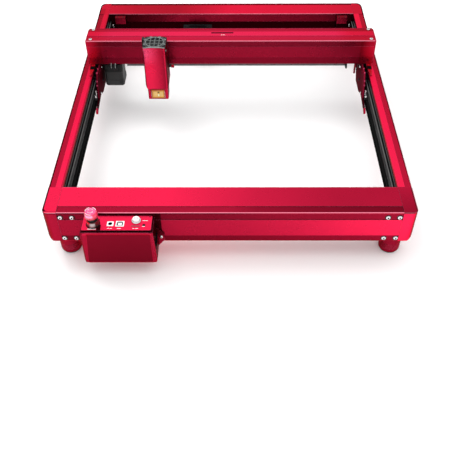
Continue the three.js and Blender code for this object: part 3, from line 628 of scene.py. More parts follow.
# the light lines are painted highlights along the rail's edges
material(
    "rail_black_oxide", (0.004, 0.004, 0.0045), metallic=0.1, rough=0.6, spec=0.06,
    edge_dark=0.5, brushed=(1.0, 0.02, 1.0), tone_var=0.15, grain=(1500.0, 0.1, 3e-5),
    paint=(
        tint((0.13, 0.13, 0.128), abs_x=(261.0, 262.4), z=(-18.4, -16.5)),
        tint((0.075, 0.075, 0.073), abs_x=(265.6, 267.2), z=(-18.6, -16.5)),
        tint((0.09, 0.09, 0.09), abs_x=(260.8, 261.4), z=(-30.3, -28.9)),
    ),
)
# painted shade on the housing's top under the gantry, and a painted highlight along the seam
material(
    "charcoal_housing", (0.030, 0.031, 0.031), metallic=0.25, rough=0.5, wear=0.5,
    wear_colour=(0.10, 0.105, 0.105), grain=(900.0, 0.25, 6e-5), tone_var=0.15, spec=0.3,
    edge_dark=0.4,
    paint=(
        shade(0.30, y=(COVER_Y, COVER_Y + 60), z=(-16.0, 1)),
        tint((0.12, 0.125, 0.125), 0.8, y=(COVER_Y, COVER_Y + 2.6), z=(-16.6, -15.6)),
    ),
)
material(
    "black_plastic", (0.010, 0.010, 0.011), rough=0.5, grain=(1400.0, 0.2, 5e-5), tone_var=0.2,
    wear=0.3, wear_colour=(0.06, 0.06, 0.06), spec=0.3,
)
material(
    "belt_rubber", (0.008, 0.008, 0.008), rough=0.85, grain=(900.0, 0.4, 1e-4), tone_var=0.25,
    spec=0.08,
)
material(
    "steel_ground", (0.56, 0.57, 0.59), metallic=1.0, rough=0.26, brushed=(0.02, 1.0, 1.0),
    grain=(1800.0, 0.15, 3e-5),
)
material(
    "steel_x_rail", (0.18, 0.185, 0.19), metallic=0.9, rough=0.3, brushed=(0.02, 1.0, 1.0),
    grain=(1800.0, 0.15, 3e-5),
)
material(
    "bearing_block_dark", (0.030, 0.028, 0.030), metallic=0.8, rough=0.35, wear=0.8,
    wear_colour=(0.35, 0.12, 0.15), grain=(1500.0, 0.1, 3e-5), edge_dark=0.5,
)
material(
    "screw_steel", (0.82, 0.83, 0.84), metallic=1.0, rough=0.20, grain=(2600.0, 0.05, 2e-5),
    wear=0.4, wear_colour=(0.95, 0.95, 0.95), wear_radius=0.0002, edge_dark=0.75,
)
material("screw_socket_dark", (0.02, 0.02, 0.022), metallic=0.6, rough=0.5, spec=0.2)
material("guard_wire", (0.46, 0.50, 0.49), metallic=0.8, rough=0.36, edge_dark=0.5)
material(
    "bare_aluminium", (0.70, 0.71, 0.73), metallic=1.0, rough=0.34, brushed=(1.0, 1.0, 0.03),
    grain=(1500.0, 0.2, 3e-5),
)
material(
    "guard_plastic", (0.035, 0.042, 0.040), metallic=0.2, rough=0.42, spec=0.35, wear=1.0,
    wear_colour=(0.26, 0.28, 0.28), wear_radius=0.0007, grain=(1400.0, 0.1, 4e-5), tone_var=0.2,
)
material(
    "guard_bar_plastic", (0.15, 0.165, 0.16), metallic=0.3, rough=0.4, spec=0.3,
    grain=(1400.0, 0.1, 4e-5), tone_var=0.15,
)
material(
    "brass_turned", (0.72, 0.47, 0.17), metallic=1.0, rough=0.24, brushed=(1.0, 1.0, 0.03)
)
# Head with painted light: a lit pink top, painted shade on the lower part, and a lavender painted
# highlight at the front left.
material(
    "red_gloss_plastic", (0.74, 0.020, 0.085), rough=0.14, coat=0.9, coat_rough=0.04,
    grain=(900.0, 0.03, 4e-5), tone_var=0.04, wear=0.3, wear_colour=(0.95, 0.25, 0.4),
    edge_dark=0.6,
    paint=(
        tint((0.95, 0.075, 0.26), 0.75, z=(21.6, 27)),
        tint((0.34, 0.003, 0.010), 0.95, z=(9, 13.6)),
        tint((0.55, 0.008, 0.03), 0.8, z=(13.6, 15.8)),
        tint((0.95, 0.38, 0.66), 0.8, x=(-211.0, -201.5), y=(-31, -25.8), z=(17.4, 20.0),
             soft=1.0),
    ),
)
material(
    "white_plastic", (0.86, 0.86, 0.85), rough=0.28, coat=0.4, grain=(1200.0, 0.08, 4e-5),
    tone_var=0.02, edge_dark=0.6,
)
PRINT_GRAIN = (2500.0, 0.1, 2e-5)
material("symbol_grey", (0.16, 0.17, 0.17), rough=0.5, grain=PRINT_GRAIN, tone_var=0.15)
material("grey_print", (0.10, 0.05, 0.055), rough=0.5, grain=PRINT_GRAIN, tone_var=0.2)
material("white_print", (0.88, 0.86, 0.86), rough=0.55, grain=PRINT_GRAIN, tone_var=0.03)
material(
    "amber_window", (0.62, 0.26, 0.018), rough=0.12, trans=0.15, ior=1.49, coat=0.3,
    grain=(260.0, 0.06, 6e-5), tone_var=0.18,
    paint=(
        tint((0.80, 0.44, 0.07), 0.75, x=(-148.3, -127.7), z=(-30.6, -17.6)),
        tint((0.86, 0.60, 0.20), 0.55, x=(-146.2, -140.4), z=(-28.6, -18.6)),
        tint((0.86, 0.60, 0.20), 0.45, x=(-134.6, -129.2), z=(-28.6, -18.6)),
        tint((0.03, 0.015, 0.003), 0.9, x=(-138.9, -135.7), z=(-21.6, -18.6)),
        # painted highlight: the pale green spot
        tint((0.80, 0.95, 0.55), 0.85, x=(-138.9, -135.9), z=(-28.6, -23.6)),
    ),
)
material(
    "amber_gasket", (0.42, 0.10, 0.008), rough=0.3, grain=(600.0, 0.1, 5e-5), tone_var=0.15
)
material("board_solder_mask", (0.012, 0.12, 0.045), rough=0.35, coat=0.4, tone_var=0.15)
material("contact_gold", (0.85, 0.62, 0.22), metallic=1.0, rough=0.25)
material("lens_glass", (0.55, 0.7, 0.95), rough=0.02, trans=0.9, ior=1.5, spec=0.9)
material("dark_inside", (0.003, 0.003, 0.003), rough=0.8, spec=0.02)
material(
    "cable_sheath", (0.014, 0.014, 0.015), rough=0.55, grain=(700.0, 0.3, 8e-5), tone_var=0.2,
    spec=0.25,
)


# ---------------------------------------------------------------- dressing the CAD pieces
def smooth_by_angle():
    """Node group that smooths faces but keeps edges sharper than 38 degrees."""
    group = bpy.data.node_groups.new("smooth_by_angle", "GeometryNodeTree")
    for in_out in ("INPUT", "OUTPUT"):
        group.interface.new_socket(
            "Geometry", in_out=in_out, socket_type="NodeSocketGeometry"
        )
    add, link = group.nodes.new, group.links.new
    source, result = add("NodeGroupInput"), add("NodeGroupOutput")
    faces = add("GeometryNodeSetShadeSmooth")
    faces.domain = "FACE"
    faces.inputs["Shade Smooth"].default_value = True
    edges = add("GeometryNodeSetShadeSmooth")
    edges.domain = "EDGE"
    angle = add("GeometryNodeInputMeshEdgeAngle")
    is_soft = add("ShaderNodeMath")
    is_soft.operation = "LESS_THAN"
    is_soft.inputs[1].default_value = math.radians(38)
    link(angle.outputs[0], is_soft.inputs[0])
    link(source.outputs[0], faces.inputs["Geometry"])
    link(faces.outputs[0], edges.inputs["Geometry"])
    link(is_soft.outputs[0], edges.inputs["Shade Smooth"])
    link(edges.outputs[0], result.inputs[0])
    return group


SMOOTH = smooth_by_angle()


def soften(ob, width):
    """Bevelled edges with clean shading, by modifiers."""
    bevel = ob.modifiers.new("edge", "BEVEL")
    bevel.width = width * MM
    bevel.segments = 2
    bevel.limit_method = "ANGLE"
    bevel.angle_limit = math.radians(33)
    ob.modifiers.new("smooth", "NODES").node_group = SMOOTH
    ob.modifiers.new("weighted", "WEIGHTED_NORMAL").keep_sharp = True


def dress(node, finish, bevel):
    """Finish and softened edges for a CAD node."""
    ob = nodes[node]
    mesh = ob.data
    if "custom_normal" in mesh.attributes:
        mesh.attributes.remove(mesh.attributes["custom_normal"])
    mesh.materials.clear()
    mesh.materials.append(finishes[finish])
    ob.modifiers.new("weld", "WELD").merge_threshold = 2e-6
    flat = ob.modifiers.new("flat", "DECIMATE")
    flat.decimate_type = "DISSOLVE"
    flat.angle_limit = math.radians(0.5)
    soften(ob, bevel)


# CAD node, finish, bevel width
DRESS = (
    ("front_beam", "red_anodised_front", 0.3),
    ("rear_beam", "red_anodised_rear", 0.3),
    ("left_side_beam", "red_anodised_left_beam", 0.3),
    ("right_side_beam", "red_anodised_right_beam", 0.3),
    ("front_left_corner", "red_anodised_corner_fl", 0.9),
    ("front_right_corner", "red_anodised_corner_fr", 0.9),
    ("rear_left_corner", "red_anodised_corner_rl", 0.9),
    ("rear_right_corner", "red_anodised_corner_rr", 0.9),
    ("left_rail_carrier", "black_metal", 0.3),
    ("right_rail_carrier", "black_metal", 0.3),
    ("left_y_guide_rail", "rail_black_oxide", 0.15),
    ("right_y_guide_rail", "rail_black_oxide", 0.15),
    ("left_shaft_bearing", "red_anodised_bearing", 0.5),
    ("right_shaft_bearing", "red_anodised_bearing", 0.5),
    ("sync_shaft", "steel_ground", 0.3),
    ("y_motor", "charcoal_housing", 0.5),
    ("control_box_shell", "red_anodised_box", 0.5),
    ("control_box_mount", "red_anodised_ear", 0.3),
    ("control_panel", "red_anodised_panel", 0.3),
    ("control_board", "board_solder_mask", 0.15),
    ("dc_jack", "white_plastic", 0.25),
    ("usb_port", "white_print", 0.12),
    ("estop_collar", "collar_satin", 0.2),
    ("estop_stem", "black_plastic", 0.3),
    ("power_button_bezel", "screw_steel", 0.15),
    ("power_button", "white_plastic", 0.3),
    ("reset_button", "black_plastic", 0.15),
    ("gantry_cover", "red_anodised_gantry", 0.35),
    ("gantry_beam", "black_metal", 0.4),
    ("left_side_plate", "red_anodised_plate", 0.4),
    ("right_side_plate", "red_anodised_plate", 0.4),
    ("left_y_bearing_block", "bearing_block_dark", 0.4),
    ("right_y_bearing_block", "bearing_block_dark", 0.4),
    ("x_guide_rail", "steel_x_rail", 0.2),
    ("x_motor", "charcoal_housing", 0.6),
    ("x_bearing_block", "bearing_block_dark", 0.4),
    ("laser_carriage_bracket", "black_metal", 0.4),
    ("laser_z_guide", "black_metal", 0.4),
    ("laser_housing", "red_anodised_module", 0.3),
    ("laser_shield", "red_anodised_shield", 0.3),
    ("laser_window", "amber_window", 0.3),
    ("laser_lens_barrel", "brass_turned", 0.3),
    ("heat_sink", "bare_aluminium", 0.15),
    ("fan_frame", "black_plastic", 0.3),
)
for row in DRESS:
    dress(*row)


# ---------------------------------------------------------------- mesh helpers
def place(centre_point, normal=UP, spin=0.0):
    """Matrix from millimetres, with z along the normal, to a centre in metres."""
    normal = Vector(normal).normalized()
    if abs(normal.z) < 0.999:
        turn = normal.to_track_quat("Z", "Y").to_matrix()
    elif normal.z > 0:
        turn = Matrix.Identity(3)
    else:
        turn = Matrix.Rotation(math.pi, 3, "X")
    spun = turn.to_4x4() @ Matrix.Rotation(spin, 4, "Z")
    return Matrix.Translation(centre_point) @ spun @ Matrix.Scale(MM, 4)


def lift(point, axis, level):
    """Point of an outline in the two other axes, set at a level along the axis."""
    coords = list(point)
    coords.insert("xyz".index(axis), level)
    return world(*coords)


def rounded_rect(x0, x1, y0, y1, radius, steps=6):
    points = []
    for cx, cy, start in (
        (x1 - radius, y0 + radius, -90),
        (x1 - radius, y1 - radius, 0),
        (x0 + radius, y1 - radius, 90),
        (x0 + radius, y0 + radius, 180),
    ):
        for i in range(steps + 1):
            angle = math.radians(start + 90 * i / steps)
            points.append((cx + radius * math.cos(angle), cy + radius * math.sin(angle)))
    return points


def smooth_path(stations, per):
    """Curve through points in metres, with a number of steps between each two."""
    last = len(stations) - 1
    path = []
    for i in range(last):
        p1, p2 = stations[i], stations[i + 1]
        p0, p3 = stations[max(i - 1, 0)], stations[min(i + 2, last)]
        for k in range(per):
            t = k / per
            linear = 2 * p1 + (p2 - p0) * t
            square = (2 * p0 - 5 * p1 + 4 * p2 - p3) * t * t
            cube = (3 * p1 - p0 - 3 * p2 + p3) * t**3
            path.append(0.5 * (linear + square + cube))
    path.append(stations[-1])
    return path


def arc(middle, radius, height, angles):
    """Points in metres on a level circle above a middle point in metres."""
    return [
        middle + Vector((radius * math.cos(a), radius * math.sin(a), height)) * MM for a in angles
    ]


def hexagon(flat):
    """Radius by angle of a hexagon with the given half width across flats."""
    sixth = math.pi / 3
    return lambda a: flat / math.cos(((a + sixth / 2) % sixth) - sixth / 2)


def lobed(radius, depth, power):
    """Radius by angle of a circle with sixteen shallow grooves."""
    return lambda a: radius - depth * (0.5 + 0.5 * math.cos(a * 16)) ** power


class Part:
    """One mesh being built. Its shape calls return the part, so that they can be chained."""

    def __init__(self):
        self.mesh = bmesh.new()
        self.vert = self.mesh.verts.new

    def face(self, verts, mat=0):
        self.mesh.faces.new(verts).material_index = mat

    def join(self, ring_a, ring_b, mat=0):
        """Band of faces between two closed rings."""
        for k in range(len(ring_a)):
            j = (k + 1) % len(ring_a)
            self.face((ring_a[k], ring_a[j], ring_b[j], ring_b[k]), mat)

    def lathe(self, profile, segments, matrix, mat_of=lambda i: 0, shape=None):
        """Turned skin from (radius, height) pairs. shape gives some rings a radius by angle,
        and mat_of the material of each band."""
        shape = shape or {}
        rings = []
        for i, (radius, z) in enumerate(profile):
            if radius == 0:
                rings.append([self.vert(matrix @ Vector((0, 0, z)))])
                continue
            ring = []
            for k in range(segments):
                angle = 2 * math.pi * k / segments
                r = shape[i](angle) if i in shape else radius
                point = Vector((r * math.cos(angle), r * math.sin(angle), z))
                ring.append(self.vert(matrix @ point))
            rings.append(ring)
        for i, (a, b) in enumerate(zip(rings, rings[1:])):
            if len(a) > 1 and len(b) > 1:
                self.join(a, b, mat_of(i))
                continue
            for k in range(segments):
                j = (k + 1) % segments
                self.face((a[0], b[k], b[j]) if len(a) == 1 else (a[k], a[j], b[0]), mat_of(i))
        if profile[0] == profile[-1]:
            bmesh.ops.remove_doubles(self.mesh, verts=rings[0] + rings[-1], dist=1e-7)
        return self

    def box(self, x0, x1, y0, y1, z0, z1):
        corners = [self.vert(world(x, y, z)) for x in (x0, x1) for y in (y0, y1) for z in (z0, z1)]
        for quad in (
            (0, 1, 3, 2), (4, 6, 7, 5), (0, 4, 5, 1), (2, 3, 7, 6), (0, 2, 6, 4), (1, 5, 7, 3)
        ):
            self.face([corners[i] for i in quad])
        return self

    def prism(self, outline, axis, start, end):
        """Closed straight prism. The outline is in the two other axes, in x, y, z order."""
        a, b = ([self.vert(lift(p, axis, level)) for p in outline] for level in (start, end))
        self.face(a)
        self.face(b[::-1])
        for i in range(len(a)):
            j = (i + 1) % len(a)
            self.face((a[i], b[i], b[j], a[j]))
        return self

    def hollow_prism(self, outer, inner, axis, start, end):
        """Closed ring-shaped prism between two outlines of equal length."""
        outer_a, outer_b, inner_a, inner_b = (
            [self.vert(lift(p, axis, level)) for p in outline]
            for outline in (outer, inner)
            for level in (start, end)
        )
        for i in range(len(outer)):
            j = (i + 1) % len(outer)
            self.face((outer_a[i], outer_b[i], outer_b[j], outer_a[j]))
            self.face((inner_a[i], inner_a[j], inner_b[j], inner_b[i]))
            self.face((outer_a[i], outer_a[j], inner_a[j], inner_a[i]))
            self.face((outer_b[i], inner_b[i], inner_b[j], outer_b[j]))
        return self

    def tube(self, path, radius, sides=10, mat=0):
        """Round bar along points in metres, closed at both ends."""
        rings, up = [], Vector((0, 0, 1))
        for i, point in enumerate(path):
            ahead = (path[min(i + 1, len(path) - 1)] - path[max(i - 1, 0)]).normalized()
            side = ahead.cross(up)
            if side.length < 1e-3:
                side = ahead.cross(Vector((1, 0, 0)))
            side.normalize()
            up = side.cross(ahead).normalized()
            ring = []
            for k in range(sides):
                angle = 2 * math.pi * k / sides
                offset = side * math.cos(angle) + up * math.sin(angle)
                ring.append(self.vert(point + offset * radius * MM))
            rings.append(ring)
        for a, b in zip(rings, rings[1:]):
            self.join(a, b, mat)
        self.face(rings[0], mat)
        self.face(rings[-1][::-1], mat)
        return self

    def torus(self, middle, radius, wire, segments):
        """Level ring of round wire, six-sided, about a middle in metres."""
        matrix = place(middle)
        rings = []
        for i in range(segments):
            turn = 2 * math.pi * i / segments
            ring = []
            for k in range(6):
                angle = 2 * math.pi * k / 6
                r = radius + wire * math.cos(angle)
                point = Vector((r * math.cos(turn), r * math.sin(turn), wire * math.sin(angle)))
                ring.append(self.vert(matrix @ point))
            rings.append(ring)
        for a, b in zip(rings, rings[1:] + rings[:1]):
            self.join(a, b)
        return self

    def finish(self, name, mat, slot=None, body="frame", smooth=38, bevel=0.0, replaces=None):
        """Makes the object. The slot argument is not used."""
        bmesh.ops.recalc_face_normals(self.mesh, faces=self.mesh.faces)
        mesh = bpy.data.meshes.new(name)
        self.mesh.to_mesh(mesh)
        self.mesh.free()
        mesh.polygons.foreach_set("use_smooth", [True] * len(mesh.polygons))
        mesh.set_sharp_from_angle(angle=math.radians(smooth))
        for finish in mat if isinstance(mat, list) else [mat]:
            mesh.materials.append(finishes[finish])
        ob = bpy.data.objects.new(name, mesh)
        bpy.context.scene.collection.objects.link(ob)
        if bevel:
            soften(ob, bevel)
        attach(ob, body)
        if replaces:
            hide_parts(replaces)


def screw(name, at, facing, body="frame", radius=3.75, height=2.1, spin=0.3, mat="screw_steel"):
    """Button-head socket screw: domed head with a hexagon recess."""
    socket = radius * 0.36
    profile = [
        (0, 0.0), (radius * 0.97, 0.0), (radius, height * 0.12), (radius * 0.96, height * 0.42),
        (radius * 0.82, height * 0.75), (radius * 0.62, height * 0.94), (radius * 0.5, height),
        (socket * 1.12, height), (socket, height * 0.97), (socket, height * 0.3),
        (0, height * 0.22),
    ]
    shape = {7: hexagon(socket * 1.08), 8: hexagon(socket), 9: hexagon(socket)}
    # the hexagon recess takes the dark finish: painted shade in the socket
    part = Part().lathe(
        profile, 30, place(at, facing, spin), mat_of=lambda i: int(i >= 8), shape=shape
    )
    part.finish(name, [mat, "screw_socket_dark"], "steel", body)


# ---------------------------------------------------------------- frame screws and feet
for end, face_y, outward in (("front", 1.0, -1), ("rear", 662.0, 1)):
    for side, s in SIDES:
        for column, x in enumerate((259.3, 241.4)):
            for row, z in enumerate((-11.0, -56.0)):
                shift = 0.9 if row == 1 and column == 0 else 0.0
                at, facing = world(s * (x + shift), face_y, z), (0, outward, 0)
                label = f"{end}_{side}_{column}{row}"
                # a dark ring under each head is painted shade round the screw
                screw_shade_ring = [(0, 0), (4.7, 0), (4.9, 0.1), (4.7, 0.25), (0, 0.25)]
                Part().lathe(screw_shade_ring, 28, place(at, facing)).finish(
                    f"washer_{label}", "screw_socket_dark", "steel"
                )
                screw(f"screw_{label}", at, facing, spin=0.4 * column + 0.7 * row + 0.2)

GROOVE = ((0, 0), (0.25, 0.15), (0.8, 0.6), (0.8, 1.1), (0.25, 1.55), (0, 1.7))  # depth, height


def foot(node):
    """Turned foot with four grip grooves, on a rubber pad."""
    (x0, x1), _, (z0, z1) = extent(node)
    radius, height = (x1 - x0) / 2, z1 - z0
    matrix = place(base_point(node))
    profile = [
        (0, 2.0), (radius - 1.6, 2.0), (radius - 0.9, 2.6), (radius - 0.2, 3.6), (radius, 4.6)
    ]
    for k in range(4):
        profile += [(radius - depth, 9.0 + 3.2 * k + rise) for depth, rise in GROOVE]
    profile += [
        (radius, height - 4.0), (radius - 0.2, height - 3.2), (radius - 0.9, height - 2.4),
        (radius - 1.4, height - 1.6), (radius - 1.4, height), (0, height),
    ]
    Part().lathe(profile, 64, matrix).finish(
        f"{node}_turned", "red_foot_anodised", "red_dark_anodised", smooth=50, replaces=node
    )
    pad = [(0, 0), (radius - 2.6, 0), (radius - 2.0, 0.4), (radius - 2.0, 2.0), (0, 2.0)]
    Part().lathe(pad, 48, matrix).finish(f"{node}_pad", "belt_rubber", smooth=40)


for end in ("front", "rear"):
    for side, _ in SIDES:
        foot(f"{end}_{side}_foot")

# ---------------------------------------------------------------- control box
_, (box_front, _), (box_bottom, box_top) = extent("control_box_shell")
# left and right edges of the box front, which flares a little towards the bottom
TOP_LEFT, TOP_RIGHT = -222.5, -114.6
BOTTOM_LEFT, BOTTOM_RIGHT = -225.1, -112.4


def flared(points):
    """Fit an outline drawn at the bottom width of the box to its flare."""
    fitted = []
    for x, z in points:
        u = (x - BOTTOM_LEFT) / (BOTTOM_RIGHT - BOTTOM_LEFT)
        t = (box_top - z) / (box_top - box_bottom)
        left = TOP_LEFT + (BOTTOM_LEFT - TOP_LEFT) * t
        right = TOP_RIGHT + (BOTTOM_RIGHT - TOP_RIGHT) * t
        fitted.append((left + (right - left) * u, z))
    return fitted


def inset_outline(grow=0.0):
    """Flared inset of the box front, with cut corners."""
    top, bottom = box_top - 4.2 + grow, box_bottom + 4.4 - grow
    top_left, bottom_left, right = -213.4 - grow, -219.0 - grow, -118.8 + grow
    cut, nick = 2.4, 0.6
    return [
        (bottom_left + cut, bottom), (right - cut, bottom), (right - nick, bottom + nick),
        (right, bottom + cut), (right, top - nick), (right - nick, top),
        (top_left + nick, top), (top_left, top - nick),
        (bottom_left, bottom + cut), (bottom_left + nick, bottom + nick),
    ]


TRIM_INSET = 2.4
trim = rounded_rect(
    BOTTOM_LEFT + TRIM_INSET, BOTTOM_RIGHT - TRIM_INSET, box_bottom + 2.6, box_top - 0.3, 5.5, 8
)
Part().prism(flared(trim), "y", box_front - 0.45, box_front + 0.2).finish(
    "control_box_front_trim", "red_anodised_box_trim", RED, bevel=0.35
)
Part().prism(inset_outline(), "y", box_front - 0.75, box_front + 0.1).finish(
    "control_box_front_inset", "red_anodised_box_inset", "red_dark_anodised", bevel=0.2
)
Part().hollow_prism(
    inset_outline(0.5), inset_outline(), "y", box_front - 0.8, box_front + 0.1
).finish("control_box_front_line", "red_anodised_line", RED)
# dark slots stand for the shade inside the vent openings
for side, x in (("left", -224.0), ("right", -113.2)):
    part = Part()
    for k in range(6):
        y = -28.0 + k * 3.9
        part.prism(rounded_rect(y, y + 1.8, -50.0, -35.0, 0.85, 4), "x", x - 0.5, x + 0.5)
    part.finish(f"control_box_vents_{side}", "dark_inside", "black_plastic")
for side, x in (("right", -107.4), ("left", -229.8)):
    screw(f"screw_box_ear_{side}", world(x, -2.3, -49.9), FRONT, radius=2.9, height=1.8)
for k, (x, y) in enumerate(((-218.6, -4.2), (-120.6, -3.8))):
    screw(
        f"screw_panel_{k}", world(x, y, -4.55), UP,
        radius=1.1, height=0.5, spin=k, mat="screw_socket_dark",
    )

# Panel frames and print: plain strokes and a ring, no lettering
panel_z = extent("control_panel")[2][1]
JACK = (-179, -19)  # x and y of the power jack
# name, outer outline, inner outline, height above the panel
for name, outer, inner, rise in (
    ("dc_jack_frame", (-184.0, -174.0, -23.8, -14.2), (-183.2, -174.8, -23.0, -15.0), 0.45),
    ("usb_port_frame", (-170.9, -158.1, -24.6, -13.2), (-170.2, -158.8, -23.95, -13.85), 0.4),
):
    Part().hollow_prism(
        rounded_rect(*outer, 0.8, 5), rounded_rect(*inner, 0.4, 5),
        "z", panel_z - 0.05, panel_z + rise,
    ).finish(name, "white_print", bevel=0.1, slot="white_plastic")
# name, finish, strokes as (x0, x1, y0, y1)
for name, finish, strokes in (
    ("power", "white_print", [(-131.0, -123.0, -12.6, -11.8)]),
    ("power_low", "white_print", [(-144.9, -141.6, -29.0, -28.2), (-140.8, -136.4, -29.0, -28.2)]),
    ("power_bar", "grey_print", [(-147.4, -134.4, -24.4, -22.6)]),
    ("reset", "white_print", [(-131.0, -126.6, -24.8, -23.9)]),
    ("ports", "white_print", [(-182.6, -179.4, -28.9, -28.1), (-178.6, -175.4, -28.9, -28.1),
                              (-168.0, -161.8, -28.9, -28.1)]),
    ("stop", "white_print", [(-211.8, -199.2, -30.6, -29.4)]),
):
    part = Part()
    for x0, x1, y0, y1 in strokes:
        radius = min(x1 - x0, y1 - y0) * 0.45
        outline = rounded_rect(x0, x1, y0, y1, radius, 3)
        part.prism(outline, "z", panel_z - 0.05, panel_z + 0.12)
    part.finish(f"panel_mark_{name}", finish, "white_plastic")
ring = [(1.25, 0), (2.1, 0), (2.3, 0.12), (2.1, 0.3), (1.25, 0.3), (1.25, 0)]
Part().lathe(ring, 32, place(world(-128.5, -21.5, panel_z))).finish(
    "panel_mark_reset_ring", "screw_socket_dark", "black_plastic"
)
Part().lathe([(0, 0), (3.0, 0), (3.0, 1.25), (0, 1.25)], 28, place(world(*JACK, -5.2))).finish(
    "dc_jack_well", "dark_inside", "black_plastic"
)
# x, y outlines of the port's rim
PORT_OUTER = [(-169.4, -23.2), (-159.6, -23.2), (-159.6, -17.0), (-161.6, -14.6),
              (-167.4, -14.6), (-169.4, -17.0)]
PORT_INNER = [(-168.5, -22.3), (-160.5, -22.3), (-160.5, -17.3), (-162.0, -15.5),
              (-167.0, -15.5), (-168.5, -17.3)]
Part().hollow_prism(PORT_OUTER, PORT_INNER, "z", -4.75, -3.75).finish(
    "usb_port_outline", "symbol_grey", "steel"
)
pin = [(0, 0), (0.75, 0), (0.75, 10.6), (0.5, 10.9), (0, 11.0)]
Part().lathe(pin, 24, place(world(*JACK, -15.2))).finish("dc_jack_pin", "dark_inside", "brass")
part = Part()
for x in (-167.4, -162.9):
    for y in (-21.5, -16.55):
        part.box(x, x + 1.3, y, y + 0.25, -12.0, -5.4)
part.finish("usb_port_contacts", "contact_gold", "brass")

# Emergency stop: gripped mushroom head with arrows and broken print rings
estop = base_point("estop_button")
# radius, height
HEAD = [
    (0, 0), (7.8, 0), (8.2, 0.3), (8.8, 1.1), (9.5, 2.3), (10.0, 3.4), (10.2, 4.3),
    (10.25, 5.2), (10.25, 7.2), (10.1, 8.4), (9.75, 9.8), (9.1, 11.1), (8.2, 12.2),
    (7.5, 12.9), (6.9, 13.3), (6.5, 13.3), (6.1, 13.05), (4.0, 13.3), (0, 13.5),
]
grips = {i: lobed(HEAD[i][0], depth=0.35, power=4) for i in (6, 7, 8, 9)}
Part().lathe(HEAD, 96, place(estop), shape=grips).finish(
    "estop_button_head", "red_gloss_plastic", body="estop_head", smooth=45,
    replaces="estop_button",
)
part = Part()
for k in range(2):
    start = math.pi * k + 0.35
    path = arc(estop, 4.2, 13.4, [start + t * 2.1 / 10 for t in range(11)])
    part.tube(path, 0.16, 8)
    tip = path[-1]
    ahead = (path[-1] - path[-2]).normalized()
    across = Vector((-ahead.y, ahead.x, 0))
    corners = (tip + across * 0.9 * MM, tip - across * 0.9 * MM, tip + ahead * 1.4 * MM)
    v = [part.vert(corner + Vector((0, 0, z * MM))) for corner in corners for z in (-0.2, 0.2)]
    for loop in ((0, 2, 4), (1, 5, 3), (0, 1, 3, 2), (2, 3, 5, 4), (4, 5, 1, 0)):
        part.face([v[i] for i in loop])
part.finish("estop_twist_arrows", "white_print", "white_plastic", "estop_head")
gasket = [
    (9.8, 0.0), (10.5, 0.0), (10.7, 0.2), (10.7, 0.4), (10.5, 0.6), (9.8, 0.6), (9.8, 0.0)
]
gasket_base = Vector((estop.x, estop.y, world(0, 0, panel_z - 0.02).z))
Part().lathe(gasket, 64, place(gasket_base)).finish(
    "estop_collar_gasket", "belt_rubber", smooth=30
)
part = Part()
# first step, end step, wire radius; 72 steps make 320 degrees
for first, end, radius in ((1, 13, 0.5), (20, 36, 0.5), (42, 60, 0.32)):
    angles = [math.radians(20 + 320 * k / 72) for k in range(first, end)]
    part.tube(arc(estop, 8.0, 12.5, angles), radius, 6)
part.finish("estop_head_ring", "white_print", "white_plastic", "estop_head", smooth=50)

# Power symbol on the white button: an open ring with a bar
key_top = centre("power_button")
key_top.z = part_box("power_button")[1].z
angles = [math.radians(125 + i * 290 / 20) for i in range(21)]
bar = [key_top + Vector((0, 0.8, -0.05)) * MM, key_top + Vector((0, 3.0, -0.22)) * MM]
Part().tube(arc(key_top, 2.6, -0.22, angles), 0.36, 6).tube(bar, 0.3, 6).finish(
    "power_button_symbol", "symbol_grey", "black_plastic", "power_key"
)

BOARD_TOP = -40.2
part = Part()
# x0, x1, y0, y1, height
for *sides, height in (
    (-210, -200, -27, -17, 1.6), (-196, -184, -15, -9, 3.0),
    (-150, -138, -26, -14, 1.8), (-134, -127, -24, -12, 6),
):
    part.box(*sides, BOARD_TOP, BOARD_TOP + height)
part.finish("control_board_chips", "black_plastic", bevel=0.2)


# ---------------------------------------------------------------- belts and pulleys
def toothed_belt(node, axis, body):
    """Toothed belt loop in place of a CAD belt whose width lies along the axis."""
    thickness, tooth, pitch = 1.2, 0.42, 2.0
    spans = extent(node)
    width = spans.pop("xyz".index(axis))
    (start, end), (low, high) = spans
    outer = (high - low) / 2
    inner = outer - thickness
    middle = (low + high) / 2
    start, end = start + outer, end - outer
    run = end - start
    mean = inner + 0.35  # radius by which the length is measured
    total = 2 * run + 2 * math.pi * mean
    count = int(total / (pitch / 4)) // 4 * 4
    part = Part()
    rings = []
    for i in range(count):
        s = total * i / count
        if s < run:
            along, out = start + s, (0, 1)
        elif s < run + math.pi * mean:
            t = (s - run) / mean
            along, out = end, (math.sin(t), math.cos(t))
        elif s < 2 * run + math.pi * mean:
            along, out = end - (s - run - math.pi * mean), (0, -1)
        else:
            t = (s - 2 * run - math.pi * mean) / mean
            along, out = start, (-math.sin(t), -math.cos(t))
        root = inner + (tooth if i % 4 in (0, 1) else 0.0)
        inside, outside = ((along + out[0] * r, middle + out[1] * r) for r in (root, outer))
        corners = ((inside, 0), (inside, 1), (outside, 1), (outside, 0))
        rings.append([part.vert(lift(point, axis, width[edge])) for point, edge in corners])
    for a, b in zip(rings, rings[1:] + rings[:1]):
        part.join(a, b)
    part.finish(f"{node}_toothed", "belt_rubber", body=body, smooth=30, replaces=node)


toothed_belt("left_y_belt", "x", "frame")
toothed_belt("right_y_belt", "x", "frame")
toothed_belt("x_belt", "z", "gantry")

X_PULLEY_Z = 27.0  # underside of the two upright pulleys


